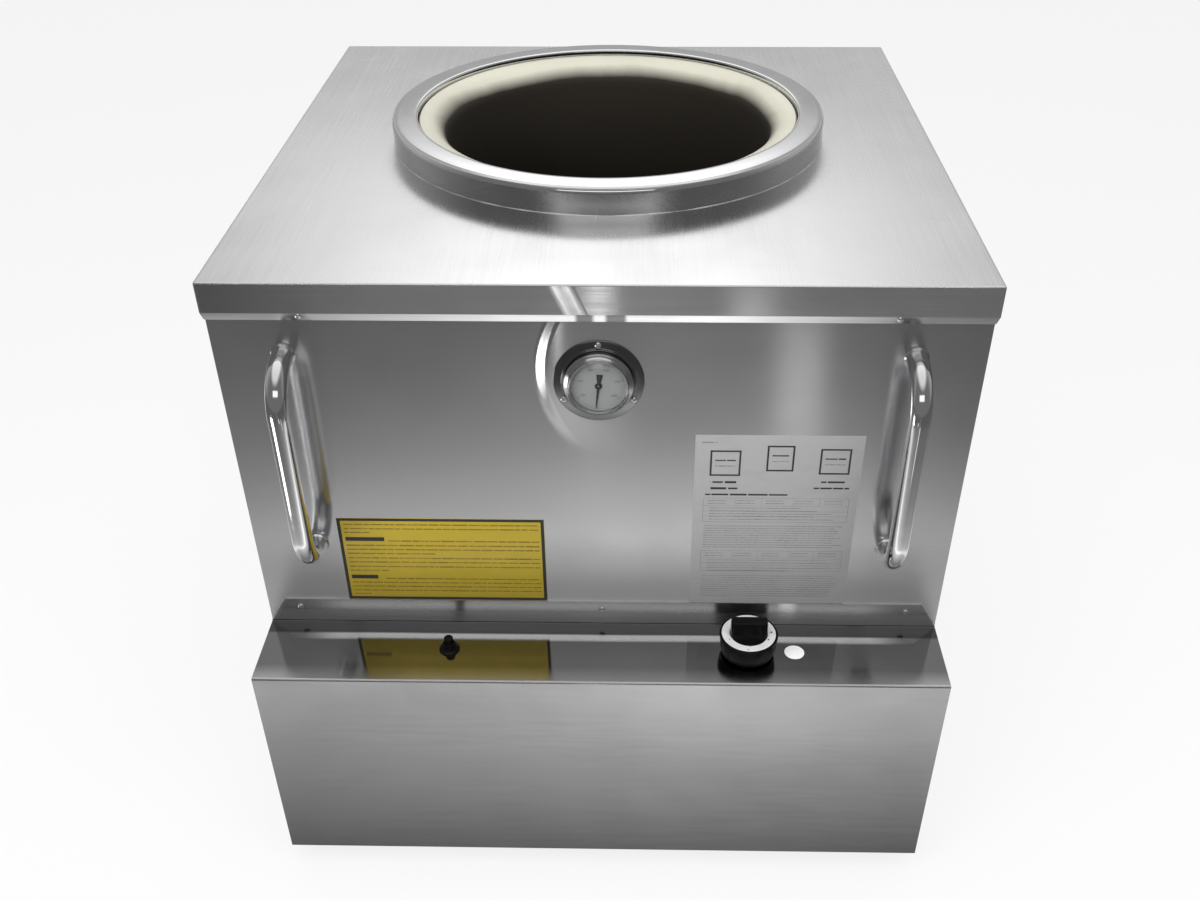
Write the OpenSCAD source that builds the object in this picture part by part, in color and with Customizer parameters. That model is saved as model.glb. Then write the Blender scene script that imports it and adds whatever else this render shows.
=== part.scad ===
// Gas-fired clay oven in a square steel casing.
// Millimetres. +Z is up, -Y is the front, and the origin is at floor level
// in the middle of the whole oven.

/* [Casing] */
// Width of the casing between its side faces
casing_w = 856; // [830:2:960]
// Depth of the casing from its front face to its rear face
casing_d = 856; // [830:2:960]
// Height from the casing's bottom edge to the top of the cover
casing_h = 800; // [780:5:900]
// Thickness of the casing, cover and control box sheets
sheet = 1.5; // [1:0.1:2.2]
// Height of the feet
foot_h = 30; // [24:1:60]
// Leg of the corner angles
post_leg = 25; // [22:1:35]
// Thickness of the corner angles
post_t = 3; // [2:0.5:4]
// Side of the square base rails
rail = 35; // [32:1:50]
// Wall of the base rails
rail_wall = 2; // [1.5:0.5:3]
// Distance of each inner base rail from the casing's side
inner_rail_in = 318; // [288:5:348]
// Thickness of the floor pan
pan_t = 2; // [1.5:0.5:3]

/* [Cover] */
// Height of the cover's skirt
skirt_h = 45.5; // [32:0.5:60]
// Gap between the skirt and the casing
skirt_gap = 2.5; // [1:0.5:6]
// Distance of the cover's screws from the casing's corners
cover_screw_in = 103; // [60:1:170]
// Height of the cover's screws above the skirt's lower edge
cover_screw_up = 8; // [7:0.5:12]

/* [Mouth ring] */
// Distance of the mouth's axis behind the middle of the casing
mouth_back = 38; // [10:1:42]
// Height of the ring above the cover
ring_h = 34; // [26:1:50]
// Width of the ring, seen from above
ring_w = 34; // [24:1:50]
// Sheet thickness of the ring
ring_t = 2; // [1.5:0.5:3]
// Outer radius of the ring's top edge
ring_bead = 6; // [4:0.5:10]
// Height of the ring's turned-down inner edge
ring_edge = 9; // [5:1:14]
// Gap between the ring and the clay
ring_gap = 1; // [0.5:0.1:2]

/* [Clay pot] */
// Radius of the clay neck
neck_r = 218; // [190:1:225]
// Radius of the belly inside
belly_r = 315; // [290:1:320]
// Thickness of the clay wall
clay_t = 36; // [30:1:38]
// Height of the belly above the pot's foot
belly_h = 235; // [180:5:280]
// Inside radius at the pot's floor
pot_base_r = 240; // [200:5:270]
// Thickness of the clay floor
pot_floor = 30; // [22:1:45]
// Radius of the hole in the clay floor
pot_hole_r = 110; // [95:1:114]
// Height of the clay lip above the cover
lip_rise = 27; // [20:1:32]
// Height of the lip's rounded funnel
lip_h = 31; // [20:1:40]
// Width of the rope seal between the clay and the cover
seal_w = 8; // [5:1:14]

/* [Hearth] */
// Side of the square brick hearth
hearth_w = 580; // [560:10:620]
// Height of the hearth
hearth_h = 95; // [93:1:120]
// Radius of the burner pit in the hearth
pit_r = 115; // [112:1:130]
// Side of the square burner tunnel
tunnel_w = 90; // [84:1:96]
// Gap between the insulation and the casing
wool_gap = 10; // [9:1:16]

/* [Control box] */
// Depth of the control box in front of the casing
box_d = 110; // [108:1:150]
// Distance from the cover's top down to the shelf
shelf_drop = 481; // [460:1:500]
// Height of the flange behind the shelf
upstand_h = 37; // [34:1:60]
// Width of the slanted end of that flange
upstand_slant = 22; // [10:1:30]
// Height of the slanted end of that flange
upstand_slant_h = 30; // [16:1:33]
// Outer radius of the sheet bends
bend_r = 3.2; // [2.6:0.1:5]
// Depth of the turned-in edge at the box's bottom
return_d = 12; // [8:1:16]
// Distance of the outer flange screws from the casing's sides
upstand_screw_in = 41; // [36:1:80]
// Height of the flange screws above the shelf
upstand_screw_up = 24.5; // [15:0.5:27]
// Distance of the controls in front of the casing
control_out = 52; // [50:1:58]

/* [Handles] */
// Distance of each handle from the casing's side
handle_in = 78; // [50:1:88]
// Distance from the cover's top down to the handle's upper leg
handle_drop = 89; // [76:1:110]
// Distance between the two legs of a handle
handle_span = 265; // [200:5:280]
// Distance of the grip's axis from the casing
handle_out = 55; // [52:1:80]
// Radius of the handle tube
handle_r = 12.5; // [10:0.5:14]
// Wall of the handle tube
handle_wall = 1.5; // [1:0.5:3]
// Bend radius of the handle tube's axis
handle_bend = 50; // [20:1:50]
// Shank radius of the handle bolts
bolt_r = 4; // [3:0.5:5]

/* [Gauge] */
// Distance from the cover's top down to the gauge
gauge_drop = 120; // [110:1:140]
// Radius of the gauge's mounting flange
flange_r = 51.5; // [49:0.5:60]
// Thickness of the mounting flange
flange_t = 1.5; // [1:0.5:3]
// Radius of the gauge case
case_r = 39.5; // [36:0.5:41]
// Depth of the gauge case in front of the casing
case_d = 16; // [15:0.5:24]
// Radius of the bezel's opening
bezel_r = 31.5; // [28:0.5:34]
// Radius of the circle of flange screws
flange_screw_r = 46; // [45:0.5:47.5]
// Radius of the gauge's stem
stem_r = 4.5; // [3:0.5:6]
// Distance from the stem's end to the clay
stem_gap = 6; // [2:1:20]
// Angle of the needle at rest, clockwise from straight down
needle_rest = 6; // [0:1:20]
// Length of the needle's point from its hub
needle_len = 28; // [20:0.5:30]
// Length of the needle's flared tail
needle_tail = 14.5; // [8:0.5:18]

/* [Plates] */
// Width of the yellow notice plate
notice_w = 254; // [180:1:256]
// Height of the yellow notice plate
notice_h = 129; // [80:1:140]
// Distance of the notice plate's middle from the casing's left side
notice_in = 232; // [228:1:248]
// Width of the white data plate
data_w = 196; // [150:1:200]
// Height of the white data plate
data_h = 253; // [180:1:260]
// Distance of the data plate's middle from the casing's right side
data_in = 219; // [213:1:233]
// Thickness of both plates and of the round label
plate_t = 0.4; // [0.2:0.1:0.8]
// Radius of the round label on the shelf
label_r = 13.5; // [8:0.5:15]
// Distance of the round label's middle from the knob's
label_out = 59; // [54:1:76]

/* [Knob] */
// Distance of the knob from the casing's right side
knob_in = 244; // [233:1:258]
// Radius of the knob
knob_r = 36.5; // [33:0.5:38]
// Height of the knob's top face above the shelf
knob_h = 32; // [29:0.5:40]
// Gap between the knob and the shelf
knob_gap = 4.5; // [4:0.5:7]
// Outer radius of the knob's metal ring
dial_ring_r = 33.5; // [30:0.5:33.5]
// Inner radius of the knob's metal ring
dial_ring_bore = 23.7; // [21:0.1:25]
// How much narrower the knob is at its foot, on each side
knob_taper = 3.5; // [0:0.5:3.5]
// Height of the grip bar above the knob's top face
grip_h = 21; // [8:0.5:24]
// Width of the grip bar along its foot
grip_d = 25; // [14:0.5:28]
// Width of the grip bar along its top
grip_top = 15; // [8:0.5:20]
// Radius of the valve stem
valve_stem_r = 3; // [2.5:0.1:4]

/* [Igniter] */
// Distance of the igniter from the casing's left side
igniter_in = 237; // [208:1:258]
// Radius of the igniter's foot
igniter_r = 13; // [11:0.5:16]
// Height of the igniter's foot above the shelf
igniter_h = 11; // [8:0.5:14]
// Radius of the igniter button
button_r = 5.75; // [4:0.25:6.5]
// Height of the button above the shelf
button_h = 20; // [17:0.5:26]

/* [Gas line] */
// Outer radius of the gas supply pipe
pipe_r = 13.35; // [10:0.05:14]
// Wall of the supply pipe
pipe_wall = 2.85; // [2:0.05:3.5]
// Length of the supply pipe behind the casing
inlet_out = 40; // [30:1:60]
// Radius of the pipe elbows and bosses
boss_r = 17; // [16:0.5:17.4]
// Height of the regulator
regulator_h = 90; // [80:1:96]
// Radius of the regulator's diaphragm housing
regulator_r = 34; // [28:0.5:38]
// Outer radius of the feed pipe to the burner
feed_r = 6.35; // [5:0.05:8]
// Wall of the feed pipe
feed_wall = 1; // [0.8:0.1:1.5]
// Distance from the shelf down to the feed pipe
feed_drop = 64; // [58:1:70]

/* [Burner] */
// Radius of the burner bowl
bowl_r = 60; // [50:1:62]
// Height of the burner bowl
bowl_h = 54; // [53:1:56]
// Radius of the burner cap
cap_r = 66; // [63:1:68]
// Thickness of the burner cap
cap_t = 10; // [6:0.5:14]
// Outer radius of the mixing tube
mixer_r = 22; // [20:0.5:23]
// Wall of the mixing tube
mixer_wall = 4; // [3:0.5:5]
// Radius of the flame spreader
spreader_r = 135; // [128:1:150]
// Gap between the pot's floor and the flame spreader
spreader_up = 24; // [15:1:30]

/* [Clearances] */
// Gap of pieces that only lie near each other
loose = 0.3; // [0.2:0.05:0.5]
// Radial gap of pieces that turn or slide in each other
running = 0.05; // [0.02:0.01:0.1]
// Radial gap of a screw in its hole
screw_gap = 0.25; // [0.1:0.05:0.5]

/* [Hidden] */
$fn = 96;

// Places from front to back
total_d = box_d + casing_d + inlet_out;
box_y = -total_d / 2;
front_y = box_y + box_d;
rear_y = front_y + casing_d;
middle_y = (front_y + rear_y) / 2;
mouth_y = middle_y + mouth_back;
control_y = front_y - control_out;

// Places from side to side
side_x = casing_w / 2;
skirt_out = skirt_gap + sheet;
post_x = side_x - sheet;
rail_x = side_x - sheet - rail / 2;
inner_rail_x = side_x - inner_rail_in;
cover_screw_x = side_x - cover_screw_in;
cover_screw_y = casing_d / 2 - cover_screw_in;
upstand_screw_x = side_x - upstand_screw_in;
handle_x = side_x - handle_in;
notice_x = side_x - notice_in;
data_x = side_x - data_in;
knob_x = side_x - knob_in;
label_x = knob_x + label_out;
igniter_x = side_x - igniter_in;

// Levels
base_z = foot_h;
pan_z = base_z + rail;
pan_top = pan_z + pan_t;
hearth_top = pan_top + hearth_h;
top_z = base_z + casing_h;
under_cover = top_z - sheet;
shelf_z = top_z - shelf_drop;
gauge_z = top_z - gauge_drop;
handle_z = top_z - handle_drop;
handle_curve = min(handle_bend, handle_out - 4);

// Feet
pad_r = 17;
pad_h = 8;
foot_inset = 80;

// Air holes of the floor pan, under the burner pit
vent_r = 10;

// Clay pot and its ring
pot_z = hearth_top;
belly_z = pot_z + belly_h;
pot_floor_z = pot_z + pot_floor;
lip_z = top_z + lip_rise;
neck_z = lip_z - lip_h;
neck_out = neck_r + clay_t;
ring_bore = neck_out + ring_gap;
ring_r = ring_bore + ring_w;
cover_bore = neck_out + seal_w;
wall_steps = 14;
lip_steps = 10;

// Screws
screw_r = 2;
screw_head_r = 4;
screw_head_h = 2.4;
rear_screw_z = [90, 330, 570, 780];
rear_screw_x = post_x - post_leg / 2;
bolt_head_h = 5.5;
bolt_head_r = 7.5;
bolt_in_handle = 14;
handle_plug = 18;

// Gauge, measured forward from the casing
case_back = 1.5;
bezel_d = case_d - 4.5;
dial_d = case_d - 7;
dial_t = 0.8;
glass_t = 2;
glass_d = case_d - 2.2 - glass_t;
seat_r = bezel_r + 1.8;
dial_r = seat_r - loose;
needle_d = dial_d + dial_t + 0.6;
needle_t = 0.8;
spindle_r = 1;
needle_hub_r = 4;
tail_w = 7.4;
point_w = 0.8;
waist_w = 2.6;
collar_w = 1.6;

// Knob, its valve and its spring
bushing_r = 8;
bushing_up = 7;
nut_h = 5;
nut_r = 13;
spring_h = 5;
collar_t = 2.5;
collar_r = 7;
collar_z = shelf_z + bushing_up + spring_h;
hub_z = collar_z + collar_t + loose;
knob_top = shelf_z + knob_h;
knob_cavity_r = knob_r - 6;
knob_edge = 2.5;
knob_hub_r = 9;
knob_web = 11;
dial_ring_t = 1.2;
valve_w = 48;
valve_d = 44;
valve_h = 70;
valve_top = shelf_z - 14;
valve_z = valve_top - valve_h;
stem_bottom = shelf_z - 40;
push_room = 5;

// Igniter
igniter_rim = 1.5;
barrel_r = 9;
barrel_h = 38;
button_tail = 10;
button_room = 22;

// Gas line
pipe_z = base_z + rail / 2;
inlet_socket_r = pipe_r + 2.15;
inlet_socket_l = 24;
inlet_flange_t = 6;
elbow_reach = boss_r + 3;
riser_top = valve_z - 15;
regulator_z = riser_top - 16 - regulator_h;
feed_z = shelf_z - feed_drop;
feed_boss_r = feed_r + 2.6;
feed_reach = feed_boss_r + 3;

// Burner
mixer_z = pan_top + tunnel_w / 2;
injector_r = 5;
injector_l = 12;
injector_bore_r = 2.5;
injector_jet_r = 0.9;
mouth_end_y = control_y + feed_reach + injector_l;
bowl_z = mixer_z - 26;
bowl_wall = 6;
bowl_top = bowl_z + bowl_h;
socket_l = 20;
socket_y = mouth_y - bowl_r - socket_l;
shutter_wall = 2.5;
shutter_l = 26;
window_w = 14;
window_l = 14;
ports = 24;
port_r = 2.2;
port_circle_r = bowl_r - bowl_wall - 16;
lug_t = 4;
lug_w = 40;
lug_l = 30;
bowl_leg_r = 7;
three_sides = [90, 210, 330];
lug_z = bowl_top - 10;
pilot_angle = -58;
pilot_r = bowl_r + 20;
pilot_step = 12;

function pilot_at(t) = [
    cos(pilot_angle) * pilot_r - sin(pilot_angle) * t,
    mouth_y + sin(pilot_angle) * pilot_r + cos(pilot_angle) * t
];

// Routes of the thin lines, from the burner through the tunnel to the controls
tube_side = 34;
line_low_z = mixer_z - 28;
line_high_z = mixer_z + 26;
line_end_y = mouth_y - 120;
pilot_y = front_y - 40;
pilot_end_z = shelf_z - 48;
couple_x = tube_side + 26;
couple_y = front_y - 34;
couple_end_z = shelf_z - 32;
lead_y = front_y - 20;
lead_x = -60;
lead_z = mixer_z + 120;
line_end_x = knob_x - valve_w / 2;
pilot_route = [
    [pilot_at(0)[0], pilot_at(0)[1], lug_z - 8],
    [pilot_at(0)[0], pilot_at(0)[1], lug_z - 24],
    [tube_side, line_end_y, line_low_z],
    [tube_side, front_y - 12, line_low_z],
    [tube_side, pilot_y, mixer_z],
    [tube_side, pilot_y, pilot_end_z],
    [line_end_x, pilot_y, pilot_end_z]
];
thermocouple_route = [
    [pilot_at(pilot_step)[0], pilot_at(pilot_step)[1], lug_z - 10],
    [pilot_at(pilot_step)[0], pilot_at(pilot_step)[1], lug_z - 20],
    [tube_side, line_end_y, mixer_z],
    [tube_side, front_y - 8, mixer_z],
    [couple_x, couple_y, mixer_z + 30],
    [couple_x, couple_y, couple_end_z],
    [line_end_x, couple_y, couple_end_z]
];
lead_route = [
    [pilot_at(-pilot_step)[0], pilot_at(-pilot_step)[1], lug_z - 12],
    [pilot_at(-pilot_step)[0], pilot_at(-pilot_step)[1], lug_z - 20],
    [tube_side, line_end_y, line_high_z],
    [tube_side, front_y - 6, line_high_z],
    [tube_side, lead_y, line_high_z + 44],
    [lead_x, lead_y, lead_z],
    [-igniter_x, couple_y, lead_z + 10],
    [-igniter_x, control_y, shelf_z - barrel_h - 25],
    [-igniter_x, control_y, shelf_z - barrel_h]
];

// Radius of the pot's inside at a height, above and below the belly
function upper_inside(z) =
    belly_r - (belly_r - neck_r) * (1 - cos(180 * (z - belly_z) / (neck_z - belly_z))) / 2;
function lower_inside(z) =
    pot_base_r + (belly_r - pot_base_r) * sqrt(max(0, 1 - pow((belly_z - z) / (belly_z - pot_floor_z), 2)));
function pot_inside(z) = z >= neck_z ? neck_r : z >= belly_z ? upper_inside(z) : lower_inside(z);
function pot_outside(z) = pot_inside(max(z, pot_floor_z)) + clay_t;

// Points of an arc round [x, y]
function arc(x, y, r, from, to, steps) =
    [for (i = [0 : steps]) let (a = from + (to - from) * i / steps) [x + r * cos(a), y + r * sin(a)]];

// Heights along the pot's wall, close together near the floor and evenly above the belly
function wall_heights() = concat(
    [for (i = [1 : wall_steps - 1]) belly_z - (belly_z - pot_floor_z) * cos(90 * i / wall_steps)],
    [for (i = [0 : wall_steps]) belly_z + (neck_z - belly_z) * i / wall_steps]
);
function pot_outer_line() = concat(
    [[pot_base_r + clay_t, pot_z], [pot_base_r + clay_t, pot_floor_z]],
    [for (z = wall_heights()) [pot_outside(z), z]],
    [[neck_out, lip_z]]
);

// A line with its corners cut by short curves
function softened(route, share) = concat(
    [route[0]],
    [
        for (i = [1 : len(route) - 2])
            for (s = [0 : 4])
                let (
                    a = route[i] + (route[i - 1] - route[i]) * share,
                    b = route[i] + (route[i + 1] - route[i]) * share,
                    t = s / 4
                )
                a * (1 - t) * (1 - t) + route[i] * 2 * t * (1 - t) + b * t * t
    ],
    [route[len(route) - 1]]
);
function unit(v) = v / norm(v);
function heading(line, i) =
    i == 0 ? unit(line[1] - line[0])
    : i == len(line) - 1 ? unit(line[i] - line[i - 1])
    : unit(unit(line[i] - line[i - 1]) + unit(line[i + 1] - line[i]));
function level(v, t) = unit(v - (v * t) * t);
function frames(line, i, last) =
    i == len(line) ? [] : let (n = level(last, heading(line, i))) concat([n], frames(line, i + 1, n));

// Tube along a line of points
module tube_along(route, r, sides) {
    line = softened(route, 0.22);
    normals = frames(line, 0, [1, 0.02, 0.01]);
    rings = len(line);
    points = [
        for (i = [0 : rings - 1])
            for (k = [0 : sides - 1])
                let (a = 360 * k / sides, n = normals[i], b = cross(heading(line, i), n))
                line[i] + r * cos(a) * n + r * sin(a) * b
    ];
    walls = [
        for (i = [0 : rings - 2])
            for (k = [0 : sides - 1])
                let (p = i * sides + k, q = i * sides + (k + 1) % sides)
                each [[p, q + sides, q], [p, p + sides, q + sides]]
    ];
    start = [for (k = [1 : sides - 2]) [0, k, k + 1]];
    tip = (rings - 1) * sides;
    end = [for (k = [1 : sides - 2]) [tip, tip + k + 1, tip + k]];
    polyhedron(points, concat(walls, start, end));
}

// Box given by its two corners
module box(low, high) {
    translate(low) cube(high - low);
}

// Round bar or hole along Y, starting at y and running back
module rod_y(x, y, z, r, l) {
    translate([x, y, z]) rotate([-90, 0, 0]) cylinder(r = r, h = l);
}

// Round bar or hole along X, starting at x
module rod_x(x, y, z, r, l) {
    translate([x, y, z]) rotate([0, 90, 0]) cylinder(r = r, h = l);
}

// Pan-head screw with its head towards -Y, its underside at the origin
module pan_screw(l) {
    rotate([90, 0, 0]) difference() {
        union() {
            translate([0, 0, -l]) cylinder(r = screw_r, h = l);
            cylinder(r = screw_head_r, h = screw_head_h * 0.5);
            translate([0, 0, screw_head_h * 0.5])
                cylinder(r1 = screw_head_r, r2 = screw_head_r * 0.55, h = screw_head_h * 0.5);
        }
        for (turn = [0, 90])
            rotate(turn) translate([0, 0, screw_head_h]) cube([screw_head_r, 0.8, 2], center = true);
    }
}

// The cover's screws, or their holes, on all four sides
module on_cover_sides() {
    z = top_z - skirt_h + cover_screw_up;
    for (s = [-1, 1]) {
        translate([s * cover_screw_x, front_y - skirt_out, z]) children();
        translate([s * cover_screw_x, rear_y + skirt_out, z]) rotate(180) children();
        translate([-side_x - skirt_out, middle_y + s * cover_screw_y, z]) rotate(-90) children();
        translate([side_x + skirt_out, middle_y + s * cover_screw_y, z]) rotate(90) children();
    }
}

// A straight hole for a screw of the same kind
module screw_hole(l) {
    rod_y(0, -1, 0, screw_r + screw_gap, l + 1);
}

module top_cover() {
    color("lightgray") difference() {
        box([-side_x - skirt_out, front_y - skirt_out, top_z - skirt_h],
            [side_x + skirt_out, rear_y + skirt_out, top_z]);
        box([-side_x - skirt_gap, front_y - skirt_gap, top_z - skirt_h - 1],
            [side_x + skirt_gap, rear_y + skirt_gap, under_cover]);
        translate([0, mouth_y, top_z - skirt_h]) cylinder(r = cover_bore, h = skirt_h + 1);
        on_cover_sides() screw_hole(skirt_out);
    }
}

// Section of the ring's outer surface, inset by the sheet for its inner surface
module ring_section(inset) {
    top = top_z + ring_h - inset;
    out = ring_r - inset;
    bead = ring_bead - inset;
    edge = max(ring_t * 1.25 - inset, 0.5);
    inner = ring_bore + inset;
    foot = inset > 0 ? top_z - 1 : top_z;
    polygon(concat(
        [[out, foot]],
        arc(out - bead, top - bead, bead, 0, 90, 8),
        arc(inner + edge, top - edge, edge, 90, 180, 5),
        [[inner, foot]]
    ));
}

module mouth_ring() {
    color("whitesmoke") translate([0, mouth_y, 0]) rotate_extrude() difference() {
        ring_section(0);
        ring_section(ring_t);
        translate([ring_bore - 1, top_z - 1]) square([ring_t + 1 + loose, ring_h - ring_edge + 1]);
    }
}

module neck_seal() {
    color("ivory") translate([0, mouth_y, top_z - 6]) difference() {
        cylinder(r = cover_bore - loose, h = 8);
        translate([0, 0, -1]) cylinder(r = neck_out + loose, h = 10);
    }
}

module clay_pot() {
    inner = concat(
        [[pot_hole_r, pot_z], [pot_hole_r, pot_floor_z], [pot_base_r, pot_floor_z]],
        [for (z = wall_heights()) [pot_inside(z), z]],
        [
            for (i = [1 : lip_steps])
                let (a = 90 * i / lip_steps)
                [neck_out - clay_t * cos(a), neck_z + lip_h * sin(a)]
        ]
    );
    outer = pot_outer_line();
    color("wheat") translate([0, mouth_y, 0]) rotate_extrude()
        polygon(concat(inner, [for (i = [len(outer) - 2 : -1 : 0]) outer[i]]));
}

module front_panel() {
    color("silver") difference() {
        box([-side_x, front_y, base_z], [side_x, front_y + sheet, under_cover]);
        box([-tunnel_w / 2, front_y - 1, pan_top], [tunnel_w / 2, front_y + sheet + 1, pan_top + tunnel_w]);
        rod_y(knob_x, front_y - 1, pipe_z, pipe_r + loose, sheet + 2);
        rod_y(0, front_y - 1, gauge_z, stem_r + loose, sheet + 2);
        at_handle_legs() rod_y(0, -1, 0, bolt_r + screw_gap, sheet + 2);
        at_upstand_screws() screw_hole(3 * sheet);
        at_flange_screws() screw_hole(flange_t + 2 * sheet);
        on_cover_sides() screw_hole(skirt_out + 2 * sheet);
    }
}

// Side panels differ only in their side
module side_panel(side) {
    x = side * (side_x - sheet / 2);
    color("silver") difference() {
        box([x - sheet / 2, front_y + sheet, base_z], [x + sheet / 2, rear_y - sheet, under_cover]);
        on_cover_sides() screw_hole(skirt_out + 2 * sheet);
    }
}

module side_panel_left() {
    side_panel(-1);
}

module side_panel_right() {
    side_panel(1);
}

module rear_panel() {
    color("silver") difference() {
        box([-side_x, rear_y - sheet, base_z], [side_x, rear_y, under_cover]);
        rod_y(knob_x, rear_y - sheet - 1, pipe_z, inlet_socket_r + loose, sheet + 2);
        at_rear_screws() screw_hole(3 * sheet);
        on_cover_sides() screw_hole(skirt_out + 2 * sheet);
    }
}

// The rear panel's screws sit along the rear corner posts
module at_rear_screws() {
    for (s = [-1, 1])
        for (z = rear_screw_z)
            translate([s * rear_screw_x, rear_y, z]) rotate(180) children();
}

// One corner angle, for the rear right corner
module corner_angle() {
    difference() {
        box([post_x - post_leg, rear_y - sheet - post_leg, pan_top], [post_x, rear_y - sheet, under_cover]);
        box([post_x - post_leg - 1, rear_y - sheet - post_leg - 1, pan_top - 1],
            [post_x - post_t, rear_y - sheet - post_t, under_cover + 1]);
    }
}

module corner_posts() {
    color("gray") difference() {
        for (s = [0, 1])
            for (f = [0, 1])
                translate([0, f * 2 * middle_y, 0]) mirror([0, f, 0]) mirror([s, 0, 0]) corner_angle();
        at_rear_screws() screw_hole(sheet + post_t + 1);
        on_cover_sides() screw_hole(skirt_out + sheet + post_t + 1);
    }
}

module base_rails() {
    color("dimgray") for (x = [-rail_x, -inner_rail_x, inner_rail_x, rail_x])
        translate([x, front_y + sheet, base_z + rail / 2]) rotate([-90, 0, 0])
            linear_extrude(casing_d - 2 * sheet) difference() {
                square(rail, center = true);
                square(rail - 2 * rail_wall, center = true);
            }
}

module floor_pan() {
    color("gray") difference() {
        box([-post_x, front_y + sheet, pan_z], [post_x, rear_y - sheet, pan_top]);
        for (a = [30 : 60 : 330])
            translate([0, mouth_y, pan_z - 1]) rotate(a) translate([pit_r - 22, 0, 0])
                cylinder(r = vent_r, h = pan_t + 2);
    }
}

// Four feet under the outer rails
module at_feet() {
    for (x = [-rail_x, rail_x])
        for (y = [front_y + foot_inset, rear_y - foot_inset])
            translate([x, y, 0]) children();
}

module feet() {
    color("darkgray") at_feet() {
        translate([0, 0, pad_h]) cylinder(r = pad_r - 1.5, h = 4);
        translate([0, 0, pad_h + 4]) cylinder(r = 7, h = base_z - pad_h - 10);
        translate([0, 0, base_z - 6]) cylinder(r = 13, h = 6, $fn = 6);
    }
}

module foot_pads() {
    color("black") at_feet() cylinder(r = pad_r, h = pad_h);
}

module hearth_slab() {
    color("tan") difference() {
        box([-hearth_w / 2, mouth_y - hearth_w / 2, pan_top],
            [hearth_w / 2, mouth_y + hearth_w / 2, hearth_top]);
        translate([0, mouth_y, pan_top - 1]) cylinder(r = pit_r, h = hearth_h + 2);
        box([-tunnel_w / 2 - loose, mouth_y - hearth_w / 2 - 1, pan_top - 1],
            [tunnel_w / 2 + loose, mouth_y, pan_top + tunnel_w + loose]);
    }
}

module burner_tunnel() {
    end_y = mouth_y - sqrt(pit_r * pit_r - tunnel_w * tunnel_w / 4) - 1;
    color("gray") difference() {
        box([-tunnel_w / 2, front_y + sheet, pan_top], [tunnel_w / 2, end_y, pan_top + tunnel_w]);
        box([-tunnel_w / 2 + sheet, front_y + sheet - 1, pan_top + sheet],
            [tunnel_w / 2 - sheet, end_y + 1, pan_top + tunnel_w - sheet]);
    }
}

module insulation_fill() {
    gap = sheet + wool_gap;
    corner = sheet + post_leg + 2;
    color("khaki") difference() {
        box([-side_x + gap, front_y + gap, pan_top], [side_x - gap, rear_y - gap, under_cover - 6]);
        for (s = [-1, 1])
            for (y = [front_y, rear_y])
                translate([s * side_x, y, top_z / 2]) cube([2 * corner, 2 * corner, top_z], center = true);
        box([-hearth_w / 2 - loose, mouth_y - hearth_w / 2 - loose, pan_top - 1],
            [hearth_w / 2 + loose, mouth_y + hearth_w / 2 + loose, hearth_top]);
        box([-tunnel_w / 2 - loose, front_y, pan_top - 1],
            [tunnel_w / 2 + loose, mouth_y, pan_top + tunnel_w + loose]);
        translate([0, mouth_y, 0]) rotate_extrude() polygon(concat(
            [[0, lip_z + 1], [0, pot_z - 1], [pot_base_r + clay_t + loose, pot_z - 1]],
            [for (p = pot_outer_line()) [p[0] + loose, p[1]]],
            [[neck_out + loose, lip_z + 1]]
        ));
        rod_y(0, front_y, gauge_z, stem_r + loose, mouth_y - front_y);
    }
}

// Slanted ends of the flange behind the shelf
module upstand_cut(side) {
    x = side * side_x;
    top = shelf_z + upstand_h;
    translate([0, front_y + 1, 0]) rotate([90, 0, 0]) linear_extrude(bend_r + sheet + 2)
        polygon([
            [x + side, top - upstand_slant_h],
            [x, top - upstand_slant_h],
            [x - side * upstand_slant, top],
            [x - side * upstand_slant, top + 1],
            [x + side, top + 1]
        ]);
}

module control_box_cover() {
    inner_r = bend_r - sheet;
    color("silver") difference() {
        translate([-side_x, 0, 0]) rotate([90, 0, 90]) linear_extrude(casing_w) polygon(concat(
            [[front_y, shelf_z + upstand_h], [front_y - sheet, shelf_z + upstand_h]],
            arc(front_y - sheet - inner_r, shelf_z + inner_r, inner_r, 0, -90, 4),
            arc(box_y + bend_r, shelf_z - bend_r, bend_r, 90, 180, 4),
            arc(box_y + bend_r, base_z + bend_r, bend_r, 180, 270, 4),
            [[box_y + return_d, base_z], [box_y + return_d, base_z + sheet]],
            arc(box_y + bend_r, base_z + bend_r, inner_r, 270, 180, 4),
            arc(box_y + bend_r, shelf_z - bend_r, inner_r, 180, 90, 4),
            arc(front_y - bend_r, shelf_z - sheet + bend_r, bend_r, -90, 0, 4)
        ));
        upstand_cut(-1);
        upstand_cut(1);
        at_upstand_screws() screw_hole(2 * sheet);
        translate([knob_x, control_y, shelf_z - sheet - 1]) cylinder(r = bushing_r + loose, h = sheet + 2);
        translate([-igniter_x, control_y, shelf_z - sheet - 1]) cylinder(r = barrel_r + loose, h = sheet + 2);
    }
}

module control_box_ends() {
    color("silver") for (s = [-1, 1])
        translate([s * (side_x - sheet / 2), 0, 0])
            box([-sheet / 2, box_y + bend_r, base_z + bend_r], [sheet / 2, front_y, shelf_z - sheet]);
}

module at_upstand_screws() {
    for (x = [-upstand_screw_x, 0, upstand_screw_x])
        translate([x, front_y - sheet, shelf_z + upstand_screw_up]) children();
}

// The four handle legs, at the casing's face
module at_handle_legs() {
    for (s = [-1, 1])
        for (z = [handle_z, handle_z - handle_span])
            translate([s * handle_x, front_y, z]) children();
}

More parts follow.
